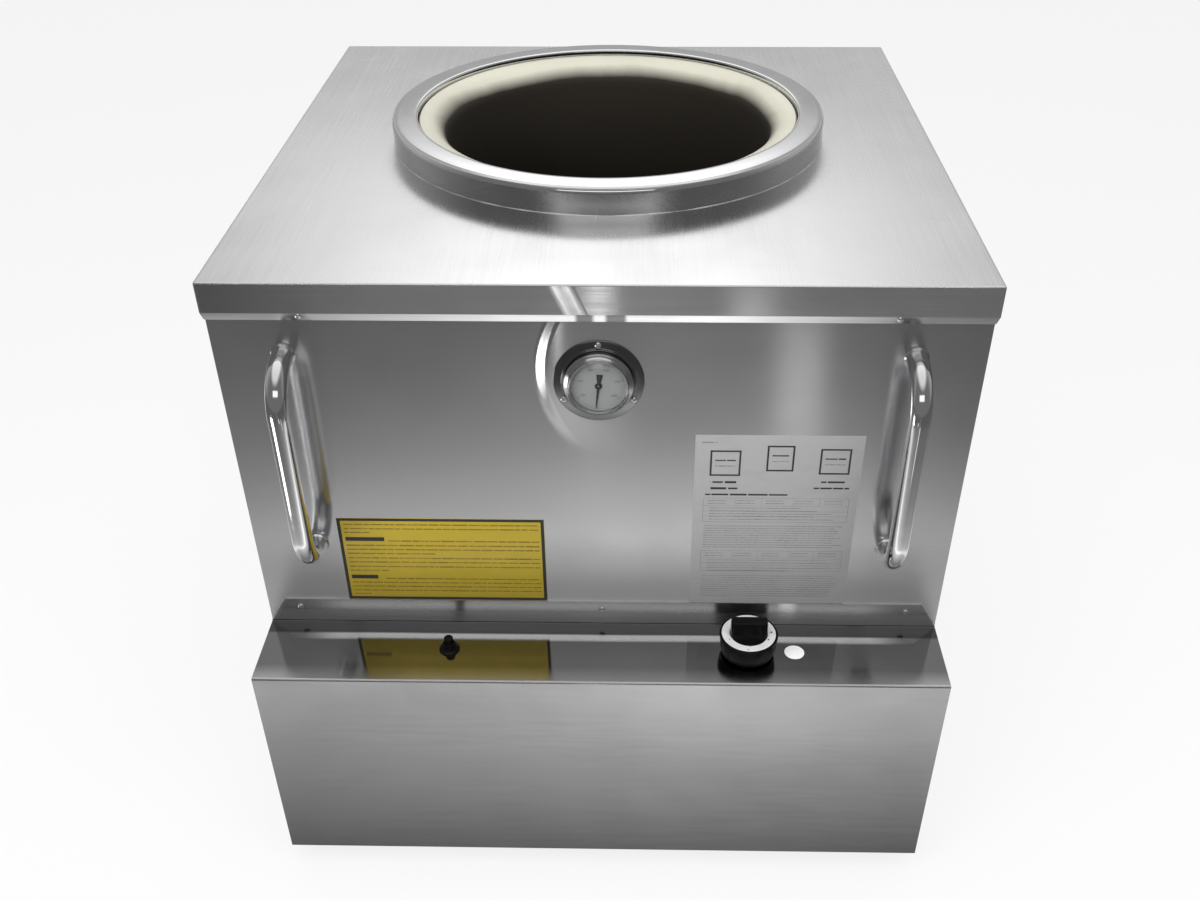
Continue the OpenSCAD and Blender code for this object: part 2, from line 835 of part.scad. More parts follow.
// Path of a handle, filled to a radius, for the tube and for its hollow
module handle_shape(r) {
    grip_y = front_y - handle_out;
    leg = handle_out - handle_curve;
    grip_l = handle_span - 2 * handle_curve;
    for (end = [0, 1])
        translate([0, 0, handle_z - handle_span / 2]) mirror([0, 0, end]) {
            rod_y(0, grip_y + handle_curve, handle_span / 2, r, leg);
            translate([0, grip_y + handle_curve, handle_span / 2 - handle_curve])
                rotate([90, 0, -90]) rotate_extrude(angle = 90)
                    translate([handle_curve, 0]) circle(r = r);
        }
    translate([0, grip_y, handle_z - handle_span + handle_curve]) cylinder(r = r, h = grip_l);
}

module handle(side) {
    color("gainsboro") translate([side * handle_x, 0, 0]) difference() {
        handle_shape(handle_r);
        difference() {
            handle_shape(handle_r - handle_wall);
            translate([-handle_r, front_y - handle_plug, handle_z - handle_span - handle_r])
                cube([2 * handle_r, handle_plug + 1, handle_span + 2 * handle_r]);
        }
        for (z = [handle_z, handle_z - handle_span])
            rod_y(0, front_y - bolt_in_handle - 1, z, bolt_r + running, bolt_in_handle + 2);
    }
}

module handle_left() {
    handle(-1);
}

module handle_right() {
    handle(1);
}

module handle_bolts() {
    color("darkgray") at_handle_legs() {
        rod_y(0, -bolt_in_handle, 0, bolt_r, bolt_in_handle + sheet);
        translate([0, sheet, 0]) rotate([-90, 0, 0]) cylinder(r = bolt_head_r, h = bolt_head_h, $fn = 6);
    }
}

module cover_screws() {
    color("white") on_cover_sides() pan_screw(skirt_out + 3);
}

module upstand_screws() {
    color("white") at_upstand_screws() pan_screw(2 * sheet + 3);
}

module rear_panel_screws() {
    color("white") at_rear_screws() pan_screw(sheet + post_t + 2);
}

// Turns a profile of [radius, depth in front of the casing] round the gauge's axis
module round_gauge() {
    translate([0, front_y, gauge_z]) rotate([90, 0, 0]) rotate_extrude() children();
}

module at_flange_screws() {
    for (a = three_sides)
        translate([flange_screw_r * cos(a), front_y - flange_t, gauge_z + flange_screw_r * sin(a)])
            children();
}

module gauge_flange() {
    inner = case_r + loose;
    color("gainsboro") difference() {
        round_gauge() polygon([
            [inner, 0], [flange_r, 0], [flange_r, flange_t * 0.6], [flange_r - 1, flange_t],
            [inner + collar_w, flange_t], [inner + collar_w, flange_t + collar_w],
            [inner + collar_w / 2, flange_t + 1.6 * collar_w], [inner, flange_t + 1.6 * collar_w]
        ]);
        at_flange_screws() screw_hole(flange_t + 1);
    }
}

module gauge_case() {
    rim = 2.5;
    color("gainsboro") round_gauge() polygon(concat(
        [[stem_r + loose, 0], [case_r, 0]],
        arc(case_r - rim, bezel_d - rim, rim, 0, 60, 4),
        [[bezel_r + 1.2, case_d], [bezel_r, case_d - 0.6]],
        [[bezel_r, glass_d + glass_t], [seat_r, glass_d + glass_t], [seat_r, dial_d]],
        [[bezel_r - 0.5, dial_d], [bezel_r - 0.5, case_back], [stem_r + loose, case_back]]
    ));
}

module gauge_dial() {
    color("lightgray") round_gauge() translate([spindle_r + 0.5, dial_d])
        square([dial_r - spindle_r - 0.5, dial_t]);
}

module gauge_glass() {
    color("lightcyan") round_gauge() translate([0, glass_d]) square([seat_r - loose, glass_t]);
}

module gauge_needle() {
    color("black") translate([0, front_y - needle_d, gauge_z]) rotate([90, needle_rest, 0]) difference() {
        union() {
            cylinder(r = needle_hub_r, h = needle_t);
            linear_extrude(needle_t) polygon([
                [-waist_w / 2, 0], [-point_w / 2, -needle_len], [point_w / 2, -needle_len],
                [waist_w / 2, 0], [tail_w / 2, needle_tail], [-tail_w / 2, needle_tail]
            ]);
        }
        translate([0, 0, -1]) cylinder(r = spindle_r + running, h = needle_t + 2);
    }
}

module gauge_stem() {
    tip_y = mouth_y - pot_outside(gauge_z) - stem_gap;
    color("silver") {
        rod_y(0, front_y - dial_d + 1, gauge_z, stem_r, tip_y - front_y + dial_d - 1);
        rod_y(0, front_y - needle_d - needle_t, gauge_z, spindle_r, needle_d + needle_t);
    }
}

module gauge_screws() {
    color("white") at_flange_screws() pan_screw(flange_t + sheet + 3);
}

// Thin plate on the casing's face, standing on the flange behind the shelf
module face_plate(x, w, h) {
    bottom = shelf_z + upstand_h + loose;
    box([x - w / 2, front_y - plate_t, bottom], [x + w / 2, front_y, bottom + h]);
}

module notice_plate() {
    color("gold") face_plate(-notice_x, notice_w, notice_h);
}

module data_plate() {
    color("white") face_plate(data_x, data_w, data_h);
}

module round_label() {
    color("white") translate([label_x, control_y, shelf_z]) cylinder(r = label_r, h = plate_t);
}

// Piece on the knob's axis, from its underside level
module on_knob(z) {
    translate([knob_x, control_y, z]) children();
}

module knob_body() {
    bottom = shelf_z + knob_gap;
    height = knob_top - bottom;
    bore_top = height - 3;
    color("black") on_knob(bottom) difference() {
        union() {
            rotate_extrude() polygon(concat(
                [[0, 0], [knob_r - knob_taper, 0]],
                arc(knob_r - knob_edge, height - knob_edge, knob_edge, 0, 90, 5),
                [[0, height]]
            ));
            intersection() {
                translate([0, 0, height]) cylinder(r = dial_ring_bore - 0.5, h = grip_h);
                translate([-knob_r, 0, height]) rotate([90, 0, 90]) linear_extrude(2 * knob_r)
                    polygon([
                        [-grip_d / 2, 0], [grip_d / 2, 0], [grip_top / 2, grip_h], [-grip_top / 2, grip_h]
                    ]);
            }
        }
        difference() {
            translate([0, 0, -1]) cylinder(r = knob_cavity_r, h = height - knob_web + 1);
            translate([0, 0, hub_z - bottom]) cylinder(r = knob_hub_r, h = height);
        }
        translate([0, 0, -1]) cylinder(r = valve_stem_r + running, h = bore_top + 1);
        translate([0, 0, height - 1]) difference() {
            cylinder(r = dial_ring_r + 0.1, h = 2);
            translate([0, 0, -1]) cylinder(r = dial_ring_bore - 0.1, h = 4);
        }
    }
}

module knob_dial_ring() {
    color("gainsboro") on_knob(knob_top - 1) difference() {
        cylinder(r = dial_ring_r, h = dial_ring_t);
        translate([0, 0, -1]) cylinder(r = dial_ring_bore, h = dial_ring_t + 2);
    }
}

module valve_stem() {
    color("goldenrod") on_knob(stem_bottom) cylinder(r = valve_stem_r, h = knob_top - 3.5 - stem_bottom);
}

module stem_collar() {
    color("goldenrod") on_knob(collar_z) difference() {
        cylinder(r = collar_r, h = collar_t);
        translate([0, 0, -1]) cylinder(r = valve_stem_r + running, h = collar_t + 2);
    }
}

module knob_spring() {
    color("silver") on_knob(shelf_z + bushing_up) difference() {
        cylinder(r = valve_stem_r + 3, h = spring_h);
        translate([0, 0, -1]) cylinder(r = valve_stem_r + 1.5, h = spring_h + 2);
    }
}

module gas_valve() {
    color("darkgoldenrod") difference() {
        union() {
            on_knob(valve_z) translate([-valve_w / 2, -valve_d / 2, 0]) cube([valve_w, valve_d, valve_h]);
            on_knob(riser_top) cylinder(r = boss_r, h = valve_z - riser_top);
            on_knob(valve_top) cylinder(r = bushing_r + 5, h = shelf_z - sheet - valve_top);
            on_knob(valve_top) cylinder(r = bushing_r, h = shelf_z + bushing_up - valve_top);
            rod_x(knob_x - valve_w / 2 - 12, control_y, feed_z, feed_boss_r, 12);
        }
        on_knob(stem_bottom - push_room) cylinder(r = valve_stem_r + running, h = 100);
        on_knob(riser_top - 1) cylinder(r = pipe_r - pipe_wall, h = 12);
        rod_x(knob_x - valve_w / 2 - 13, control_y, feed_z, feed_r - feed_wall, 14);
    }
}

module valve_nut() {
    color("silver") on_knob(shelf_z) difference() {
        cylinder(r = nut_r, h = nut_h, $fn = 6);
        translate([0, 0, -1]) cylinder(r = bushing_r + running, h = nut_h + 2);
    }
}

module igniter_body() {
    slope_w = igniter_r - button_r - 1.8;
    slope_h = igniter_h - igniter_rim;
    color("black") translate([-igniter_x, control_y, shelf_z]) difference() {
        union() {
            rotate_extrude() polygon(concat(
                [[0, 0], [igniter_r, 0], [igniter_r, igniter_rim]],
                [
                    for (a = [15 : 15 : 90])
                        [igniter_r - slope_w * sin(a), igniter_rim + slope_h * (1 - cos(a))]
                ],
                [[0, igniter_h]]
            ));
            translate([0, 0, -barrel_h]) cylinder(r = barrel_r, h = barrel_h + 1);
        }
        translate([0, 0, -button_room]) cylinder(r = button_r + running, h = button_room + igniter_h + 1);
    }
}

module igniter_button() {
    color("black") translate([-igniter_x, control_y, shelf_z]) rotate_extrude() polygon(concat(
        [[0, -button_tail], [button_r, -button_tail]],
        arc(button_r - 2, button_h - 2, 2, 0, 90, 5),
        [[0, button_h]]
    ));
}

module igniter_lead() {
    color("orangered") tube_along(lead_route, 1.8, 8);
}

// Upright piece on the burner's lug, with a hole or a body of radius r
module on_lug(t, z, r, h) {
    translate([pilot_at(t)[0], pilot_at(t)[1], z]) cylinder(r = r, h = h);
}

module spark_electrode() {
    color("white") {
        on_lug(-pilot_step, lug_z - 12, 2.6, lug_t + 12);
        on_lug(-pilot_step, lug_z + lug_t, 4, 14);
        on_lug(-pilot_step, lug_z + lug_t + 14, 1, 8);
    }
}

module pilot_burner() {
    color("goldenrod") {
        on_lug(0, lug_z - 8, 3.6, lug_t + 8);
        on_lug(0, lug_z + lug_t, 5.6, 20);
    }
}

module pilot_tube() {
    color("silver") tube_along(pilot_route, 2.4, 8);
}

module thermocouple() {
    color("peru") {
        on_lug(pilot_step, lug_z - 10, 2.6, lug_t + 10);
        on_lug(pilot_step, lug_z + lug_t, 3.4, 22);
        tube_along(thermocouple_route, 1.5, 8);
    }
}

// Hollow gas pipe along Z
module pipe(r, wall, l) {
    difference() {
        cylinder(r = r, h = l);
        translate([0, 0, -1]) cylinder(r = r - wall, h = l + 2);
    }
}

module supply_pipes() {
    inner_end = control_y + elbow_reach;
    color("dimgray") {
        translate([knob_x, inner_end, pipe_z]) rotate([-90, 0, 0])
            pipe(pipe_r, pipe_wall, rear_y - 4 - inner_end);
        on_knob(pipe_z + elbow_reach) pipe(pipe_r, pipe_wall, regulator_z - pipe_z - elbow_reach);
        on_knob(regulator_z + regulator_h) pipe(pipe_r, pipe_wall, riser_top - regulator_z - regulator_h);
    }
}

module inlet_fitting() {
    color("goldenrod") difference() {
        union() {
            rod_y(knob_x, rear_y - inlet_socket_l, pipe_z, inlet_socket_r, inlet_socket_l);
            translate([knob_x, rear_y, pipe_z]) rotate([-90, 0, 0])
                cylinder(r = inlet_socket_r + 4, h = inlet_flange_t, $fn = 6);
            rod_y(knob_x, rear_y, pipe_z, pipe_r, inlet_out);
        }
        rod_y(knob_x, rear_y - inlet_socket_l - 1, pipe_z, pipe_r + running, inlet_socket_l - 3);
        rod_y(knob_x, rear_y - inlet_socket_l - 1, pipe_z, pipe_r - pipe_wall,
            inlet_socket_l + inlet_out + 2);
    }
}

// Right-angled elbow opening towards +Y and +Z
module elbow(r, reach, bore) {
    difference() {
        union() {
            sphere(r = r);
            cylinder(r = r, h = reach);
            rotate([-90, 0, 0]) cylinder(r = r, h = reach);
        }
        sphere(r = bore);
        cylinder(r = bore, h = reach + 1);
        rotate([-90, 0, 0]) cylinder(r = bore, h = reach + 1);
    }
}

module supply_elbow() {
    color("dimgray") on_knob(pipe_z) elbow(boss_r, elbow_reach, pipe_r - pipe_wall);
}

module gas_regulator() {
    middle = regulator_z + regulator_h / 2;
    color("darkgray") difference() {
        union() {
            on_knob(regulator_z) cylinder(r = boss_r, h = regulator_h);
            rod_y(knob_x, control_y - 30, middle, regulator_r, 20);
            rod_y(knob_x, control_y - 40, middle, regulator_r * 0.4, 10);
            rod_y(knob_x, control_y - 12, middle, regulator_r * 0.7, 12);
        }
        on_knob(regulator_z - 1) cylinder(r = pipe_r - pipe_wall, h = 20);
        on_knob(regulator_z + regulator_h - 19) cylinder(r = pipe_r - pipe_wall, h = 20);
    }
}

module feed_pipes() {
    valve_end = knob_x - valve_w / 2 - 12;
    color("silver") {
        translate([feed_reach, control_y, feed_z]) rotate([0, 90, 0])
            pipe(feed_r, feed_wall, valve_end - feed_reach);
        translate([0, control_y, mixer_z + feed_reach])
            pipe(feed_r, feed_wall, feed_z - mixer_z - 2 * feed_reach);
    }
}

module feed_elbows() {
    color("goldenrod") {
        translate([0, control_y, mixer_z]) elbow(feed_boss_r, feed_reach, feed_r - feed_wall);
        translate([0, control_y, feed_z]) rotate([180, 0, 90])
            elbow(feed_boss_r, feed_reach, feed_r - feed_wall);
    }
}

module gas_injector() {
    y = control_y + feed_reach;
    color("gold") difference() {
        union() {
            translate([0, y, mixer_z]) rotate([-90, 0, 0])
                cylinder(r = injector_r + 3, h = injector_l, $fn = 6);
            rod_y(0, y, mixer_z, injector_r, injector_l + mixer_wall + 6);
        }
        rod_y(0, y - 1, mixer_z, injector_bore_r, injector_l + mixer_wall);
        rod_y(0, y, mixer_z, injector_jet_r, injector_l + mixer_wall + 8);
    }
}

// Air windows near the mouth of the mixing tube and of its shutter
module air_windows() {
    for (a = three_sides)
        translate([0, mouth_end_y + 17, mixer_z]) rotate([0, a, 0])
            translate([mixer_r / 2, -window_l / 2, -window_w / 2]) cube([mixer_r, window_l, window_w]);
}

module mixing_tube() {
    end_y = socket_y + socket_l - 2;
    color("dimgray") difference() {
        rod_y(0, mouth_end_y, mixer_z, mixer_r, end_y - mouth_end_y);
        rod_y(0, mouth_end_y + mixer_wall, mixer_z, mixer_r - mixer_wall, end_y - mouth_end_y);
        rod_y(0, mouth_end_y - 1, mixer_z, injector_r + running, mixer_wall + 2);
        air_windows();
    }
}

module air_shutter() {
    color("silver") difference() {
        union() {
            rod_y(0, mouth_end_y + 4, mixer_z, mixer_r + shutter_wall, shutter_l);
            translate([0, mouth_end_y + 4, mixer_z]) rotate([0, 30, 0])
                translate([mixer_r + shutter_wall - 1, 0, -1.5]) cube([9, 10, 3]);
        }
        rod_y(0, mouth_end_y + 3, mixer_z, mixer_r + running, shutter_l + 2);
        air_windows();
    }
}

module burner_body() {
    color("dimgray") difference() {
        union() {
            translate([0, mouth_y, bowl_z]) cylinder(r = bowl_r, h = bowl_h);
            rod_y(0, socket_y, mixer_z, mixer_r + 4, socket_l + bowl_wall + 2);
            for (a = three_sides)
                translate([0, mouth_y, pan_top]) rotate(a) translate([bowl_r - 14, 0, 0])
                    cylinder(r = bowl_leg_r, h = bowl_z - pan_top + 1);
            translate([0, mouth_y, lug_z]) rotate(pilot_angle) translate([bowl_r - 4, -lug_w / 2, 0])
                cube([lug_l + 4, lug_w, lug_t]);
        }
        translate([0, mouth_y, bowl_z + bowl_wall]) cylinder(r = bowl_r - bowl_wall, h = bowl_h);
        rod_y(0, socket_y - 1, mixer_z, mixer_r + loose, socket_l);
        rod_y(0, socket_y - 1, mixer_z, mixer_r - mixer_wall, socket_l + bowl_wall + 12);
        on_lug(-pilot_step, lug_z - 1, 2.6 + loose, lug_t + 2);
        on_lug(0, lug_z - 1, 3.6 + loose, lug_t + 2);
        on_lug(pilot_step, lug_z - 1, 2.6 + loose, lug_t + 2);
    }
}

module burner_cap() {
    color("gray") translate([0, mouth_y, bowl_top]) difference() {
        union() {
            cylinder(r1 = cap_r, r2 = cap_r - 5, h = cap_t);
            translate([0, 0, -5]) cylinder(r = bowl_r - bowl_wall - loose, h = 6);
        }
        translate([0, 0, -6]) cylinder(r = bowl_r - bowl_wall - 12, h = 9);
        for (i = [0 : ports - 1])
            rotate(360 * i / ports) translate([port_circle_r, 0, -1])
                cylinder(r = port_r, h = cap_t + 2, $fn = 24);
    }
}

module flame_spreader() {
    leg_r = 9;
    color("dimgray") translate([0, mouth_y, pot_floor_z]) {
        translate([0, 0, spreader_up]) cylinder(r1 = spreader_r, r2 = spreader_r - 4, h = 6);
        translate([0, 0, spreader_up + 6]) cylinder(r1 = spreader_r - 4, r2 = 30, h = 5);
        for (a = three_sides)
            rotate(a) translate([(pot_hole_r + spreader_r) / 2, 0, 0])
                cylinder(r = leg_r, h = spreader_up + 1);
    }
}

top_cover();
mouth_ring();
neck_seal();
clay_pot();
front_panel();
side_panel_left();
side_panel_right();
rear_panel();
corner_posts();
base_rails();
floor_pan();
feet();
foot_pads();
hearth_slab();
insulation_fill();
burner_tunnel();
control_box_cover();
control_box_ends();
handle_left();
handle_right();
handle_bolts();
cover_screws();
upstand_screws();
rear_panel_screws();
gauge_flange();
gauge_case();
gauge_dial();
gauge_needle();
gauge_glass();
gauge_stem();
gauge_screws();
notice_plate();
data_plate();
round_label();
knob_body();
knob_dial_ring();
valve_stem();
stem_collar();
knob_spring();
gas_valve();
valve_nut();
igniter_body();
igniter_button();
igniter_lead();
spark_electrode();
pilot_burner();
pilot_tube();
thermocouple();
inlet_fitting();
supply_pipes();
supply_elbow();
gas_regulator();
feed_pipes();
feed_elbows();
gas_injector();
mixing_tube();
air_shutter();
burner_body();
burner_cap();
flame_spreader();
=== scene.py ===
"""Looks of a gas-fired clay oven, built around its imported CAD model. Metres, +Z up, -Y is the front."""

import math
import random

import bpy
from mathutils import Matrix, Vector


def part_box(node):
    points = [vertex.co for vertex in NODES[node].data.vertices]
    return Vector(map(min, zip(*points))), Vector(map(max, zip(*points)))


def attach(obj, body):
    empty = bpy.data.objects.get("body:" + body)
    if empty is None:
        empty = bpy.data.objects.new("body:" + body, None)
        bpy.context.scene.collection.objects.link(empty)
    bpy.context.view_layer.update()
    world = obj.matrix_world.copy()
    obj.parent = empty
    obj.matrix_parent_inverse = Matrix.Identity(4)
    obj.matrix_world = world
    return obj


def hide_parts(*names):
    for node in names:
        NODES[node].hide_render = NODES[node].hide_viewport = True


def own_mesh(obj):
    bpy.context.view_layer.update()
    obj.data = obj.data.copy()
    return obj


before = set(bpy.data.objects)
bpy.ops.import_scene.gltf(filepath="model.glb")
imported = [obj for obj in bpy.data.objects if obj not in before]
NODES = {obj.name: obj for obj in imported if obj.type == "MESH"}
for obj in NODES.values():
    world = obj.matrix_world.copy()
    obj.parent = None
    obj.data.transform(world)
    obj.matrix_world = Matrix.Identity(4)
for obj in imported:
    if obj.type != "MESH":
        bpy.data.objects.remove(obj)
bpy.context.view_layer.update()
MM = 0.001

# Camera, fitted to the photograph
CAMERA_AT = Vector((0.0448, -1.5851, 1.4132))
CAMERA_YAW = -0.022055
CAMERA_PITCH = 0.63679
CAMERA_ROLL = -0.0045838
LENS = 36.92
SHIFT_X = -0.0132
SHIFT_Y = 0.0496

# Metres, but the lean in degrees and the plates in millimetres
SHEET = 1.5 * MM
COVER_SCREW_X = 0.325
UPSTAND_SCREW_X = (-0.387, 0, 0.387)
REAR_SCREW_X = (-0.414, 0.414)
REAR_SCREW_Z = (0.09, 0.33, 0.57, 0.78)
NEEDLE_LEAN = -6
PLATE_THICKNESS = 0.34
PRINT_LEVEL = 0.37
FLOOR_HALF = 14
FOOTPRINT = (0.43, 0.5, 0)


# ---- materials

MATERIALS = {}


def is_socket(value):
    return isinstance(value, bpy.types.NodeSocket)


class Graph:
    """Shader nodes, added one by one; their kinds are named without the leading ShaderNode."""

    def __init__(self, tree):
        self.nodes = tree.nodes
        self.links = tree.links

    def node(self, kind, inputs=None, **settings):
        made = self.nodes.new("ShaderNode" + kind)
        for key, value in settings.items():
            setattr(made, key, value)
        for key, value in (inputs or {}).items():
            if is_socket(value):
                self.links.new(value, made.inputs[key])
            else:
                made.inputs[key].default_value = value
        return made

    def maths(self, operation, first, second=0.0):
        return self.node("Math", {0: first, 1: second}, operation=operation).outputs[0]

    def times(self, first, second):
        return self.maths("MULTIPLY", first, second)

    def total(self, *values):
        """Sum of sockets and numbers."""
        result = values[0]
        for value in values[1:]:
            result = self.maths("ADD", result, value)
        return result

    def ramp(self, value, low, high, start, end, kind="SMOOTHSTEP"):
        """Goes softly from low at start to high at end."""
        values = {"Value": value, "From Min": start, "From Max": end, "To Min": low, "To Max": high}
        return self.node("MapRange", values, interpolation_type=kind).outputs["Result"]


class Finish(Graph):
    """A material with one Principled surface, kept in MATERIALS under its name."""

    def __init__(self, name, colour, roughness, metallic=0.0, **sockets):
        material = bpy.data.materials.new(name)
        material.use_nodes = True
        super().__init__(material.node_tree)
        self.surface = self.nodes["Principled BSDF"]
        values = {"Base Color": (*colour, 1), "Roughness": roughness, "Metallic": metallic, **sockets}
        for socket, value in values.items():
            self.surface.inputs[socket.replace("_", " ")].default_value = value
        self.where = self.node("TexCoord").outputs["Object"]
        self.normal = None
        MATERIALS[name] = material

    def placed(self, stretch=(1, 1, 1), move=(0, 0, 0)):
        values = {"Vector": self.where, "Scale": stretch, "Location": move}
        return self.node("Mapping", values).outputs["Vector"]

    def noise(self, scale, detail=3.0, stretch=(1, 1, 1), move=(0, 0, 0), distortion=0.0):
        place = self.placed(stretch, move)
        values = {"Vector": place, "Scale": scale, "Detail": detail, "Distortion": distortion}
        return self.node("TexNoise", values).outputs["Fac"]

    def axis(self, name):
        return self.node("SeparateXYZ", {"Vector": self.where}).outputs[name]

    def vector(self, operation, first, second=(0, 0, 0)):
        made = self.node("VectorMath", {0: first, 1: second}, operation=operation)
        return made.outputs["Value" if operation == "LENGTH" else "Vector"]

    def remap(self, value, low, high, start=0.3, end=0.7):
        """Goes straight from low at start to high at end."""
        return self.ramp(value, low, high, start, end, "LINEAR")

    def step(self, value, place, width):
        """Soft step from 1 to 0 where the value passes a place."""
        return self.ramp(self.total(value, -place), 1, 0, -width / 2, width / 2)

    def blend(self, amount, first, second):
        """Mix of two colours or colour sockets."""
        first, second = (value if is_socket(value) else (*value, 1) for value in (first, second))
        return self.node("Mix", {0: amount, 6: first, 7: second}, data_type="RGBA").outputs[2]

    def wire(self, name, value):
        self.links.new(value, self.surface.inputs[name])

    def paint(self, colour):
        self.wire("Base Color", colour)

    def roughen(self, value):
        self.wire("Roughness", value)

    def bump(self, height, strength, distance):
        values = {"Height": height, "Strength": strength, "Distance": distance}
        if self.normal:
            values["Normal"] = self.normal
        self.normal = self.node("Bump", values).outputs["Normal"]
        self.wire("Normal", self.normal)

    def show(self, shader):
        self.links.new(shader, self.nodes["Material Output"].inputs["Surface"])


def grey(value):
    return (value, value, value)


def cool(value):
    """Grey with a trace of blue, as steel has."""
    return (value, value, value + 0.005)


def shade(colour, factor):
    return tuple(min(1, c * factor) for c in colour)


def brushed(name, colour, roughness, grain, tangent, turn=0.0, streaks=0.08, clouds=0.06):
    """Brushed stainless: fine grain along one axis, soft clouds, and faint dents of thin sheet."""
    steel = Finish(name, colour, roughness, 1.0, Anisotropic=0.85, Anisotropic_Rotation=turn)
    dark, light = shade(colour, 1 - streaks), shade(colour, 1 + streaks)
    fine = steel.noise(6.0, 4.0, grain)
    coarse = steel.noise(1.2, 3.0, tuple(g * 0.3 for g in grain), (3, 1, 7))
    cloud = steel.noise(2.4, move=(5, 2, 1), distortion=0.6)
    smudge = steel.noise(11.0, 4.0, move=(1, 8, 3), distortion=0.4)
    streaky = steel.blend(steel.remap(fine, 0, 1), dark, light)
    banded = steel.blend(steel.remap(coarse, 0, 1), streaky, dark)
    steel.paint(steel.blend(steel.remap(cloud, 0, 1, 0.35, 0.75), banded, shade(colour, 1 + clouds)))
    steel.roughen(steel.total(steel.remap(fine, -0.02, 0.02), steel.remap(smudge, -0.015, 0.025), roughness))
    steel.bump(steel.noise(1.5, 1.0, move=(2, 9, 4)), 0.2, 0.004)
    steel.bump(fine, 0.03, 0.00003)
    steel.wire("Tangent", steel.node("Tangent", direction_type="RADIAL", axis=tangent).outputs[0])
    return steel


def polished(name, colour, roughness):
    """Polished metal with faint smears and swirls."""
    metal = Finish(name, colour, roughness, 1.0)
    smears = metal.noise(14.0, 4.0, (1, 1, 2), distortion=0.8)
    swirls = metal.noise(160.0, 2.0, (1, 1, 3))
    metal.paint(metal.blend(metal.remap(smears, 0, 1), shade(colour, 0.93), colour))
    metal.roughen(metal.total(metal.remap(smears, 0, 0.05), metal.remap(swirls, 0, 0.02), roughness))
    metal.bump(metal.noise(7.0, 1.0), 0.15, 0.0012)


def grainy(name, colour, roughness, metallic=0.0, scale=300.0, bump=0.2, depth=0.0002, spread=0.12,
           wear=None, **sockets):
    """Any plain surface: mottled colour, uneven roughness, fine grain, and lighter worn edges."""
    made = Finish(name, colour, roughness, metallic, **sockets)
    fine = made.noise(scale, 4.0)
    broad = made.noise(scale / 25, move=(4, 4, 1))
    mottled = made.blend(made.remap(broad, 0, 1), shade(colour, 1 - spread), shade(colour, 1 + spread))
    flecked = made.blend(made.remap(fine, 0, 0.5, 0.5, 0.8), mottled, shade(colour, 1 - 2 * spread))
    if wear:
        edge = made.node("NewGeometry").outputs["Pointiness"]
        flecked = made.blend(made.remap(edge, 0, 0.6, 0.52, 0.6), flecked, wear)
    made.paint(flecked)
    made.roughen(made.remap(broad, max(0.02, roughness - 0.06), min(1, roughness + 0.08)))
    made.bump(fine, bump, depth)


def fired_clay():
    """Cream clay that darkens below the mouth, sooty and with painted shade, with pits."""
    cream = (0.56, 0.545, 0.45)
    soot_and_shade = (0.026, 0.022, 0.017)
    clay = Finish("fired_clay", cream, 0.42, Coat_Weight=0.12, Coat_Roughness=0.25)
    broad = clay.noise(6.0, 4.0, distortion=0.5)
    fine = clay.noise(260.0)
    pits = clay.node("TexVoronoi", {"Vector": clay.placed(), "Scale": 70.0}).outputs["Distance"]
    body = clay.blend(clay.remap(broad, 0, 1), shade(cream, 0.93), shade(cream, 1.05))
    speckled = clay.blend(clay.remap(pits, 0.35, 0, 0.0, 0.08), body, (0.38, 0.33, 0.25))
    wavy = clay.total(clay.axis("Z"), clay.remap(broad, -0.003, 0.003))
    # Below the mouth the clay is sooty and painted shade together.
    clay.paint(clay.blend(clay.remap(wavy, 0, 1, 0.851, 0.836), speckled, soot_and_shade))
    clay.roughen(clay.remap(wavy, 0.42, 0.9, 0.853, 0.82))
    clay.bump(broad, 0.25, 0.004)
    clay.bump(fine, 0.15, 0.0004)
    clay.bump(clay.remap(pits, -1, 0, 0.0, 0.08), 0.3, 0.0006)


def firebrick():
    """Refractory bricks with mortar joints."""
    brick = Finish("firebrick", (0.62, 0.5, 0.36), 0.92)
    values = {"Vector": brick.placed(), "Scale": 4.4, "Mortar Size": 0.02,
              "Color1": (0.62, 0.5, 0.36, 1), "Color2": (0.55, 0.43, 0.3, 1), "Mortar": (0.4, 0.37, 0.33, 1)}
    courses = brick.node("TexBrick", values)
    fine = brick.noise(180.0, 5.0)
    brick.paint(brick.blend(brick.remap(fine, 0, 0.5), courses.outputs["Color"], (0.4, 0.33, 0.25)))
    brick.bump(fine, 0.5, 0.001)
    brick.bump(courses.outputs["Fac"], -0.5, 0.002)


def wool():
    """Ceramic wool: short matted fibres in layers."""
    fleece = Finish("ceramic_wool", (0.8, 0.78, 0.7), 1.0, Sheen_Weight=0.3)
    fibres = fleece.noise(90.0, 6.0, (6, 1, 1), distortion=2.0)
    layers = fleece.noise(3.0, 2.0, (1, 1, 30))
    mixed = fleece.blend(fleece.remap(fibres, 0, 1), (0.68, 0.66, 0.58), (0.86, 0.84, 0.77))
    fleece.paint(fleece.blend(fleece.remap(layers, 0, 0.4), mixed, (0.6, 0.57, 0.5)))
    fleece.bump(fibres, 0.8, 0.002)


def dial_face():
    """Printed dial: light grey card with a fine fleck."""
    card = Finish("dial_face", grey(0.3), 0.55)
    fine = card.noise(900.0, 2.0)
    card.paint(card.blend(card.remap(fine, 0, 1), grey(0.28), grey(0.31)))
    card.bump(fine, 0.05, 0.0001)


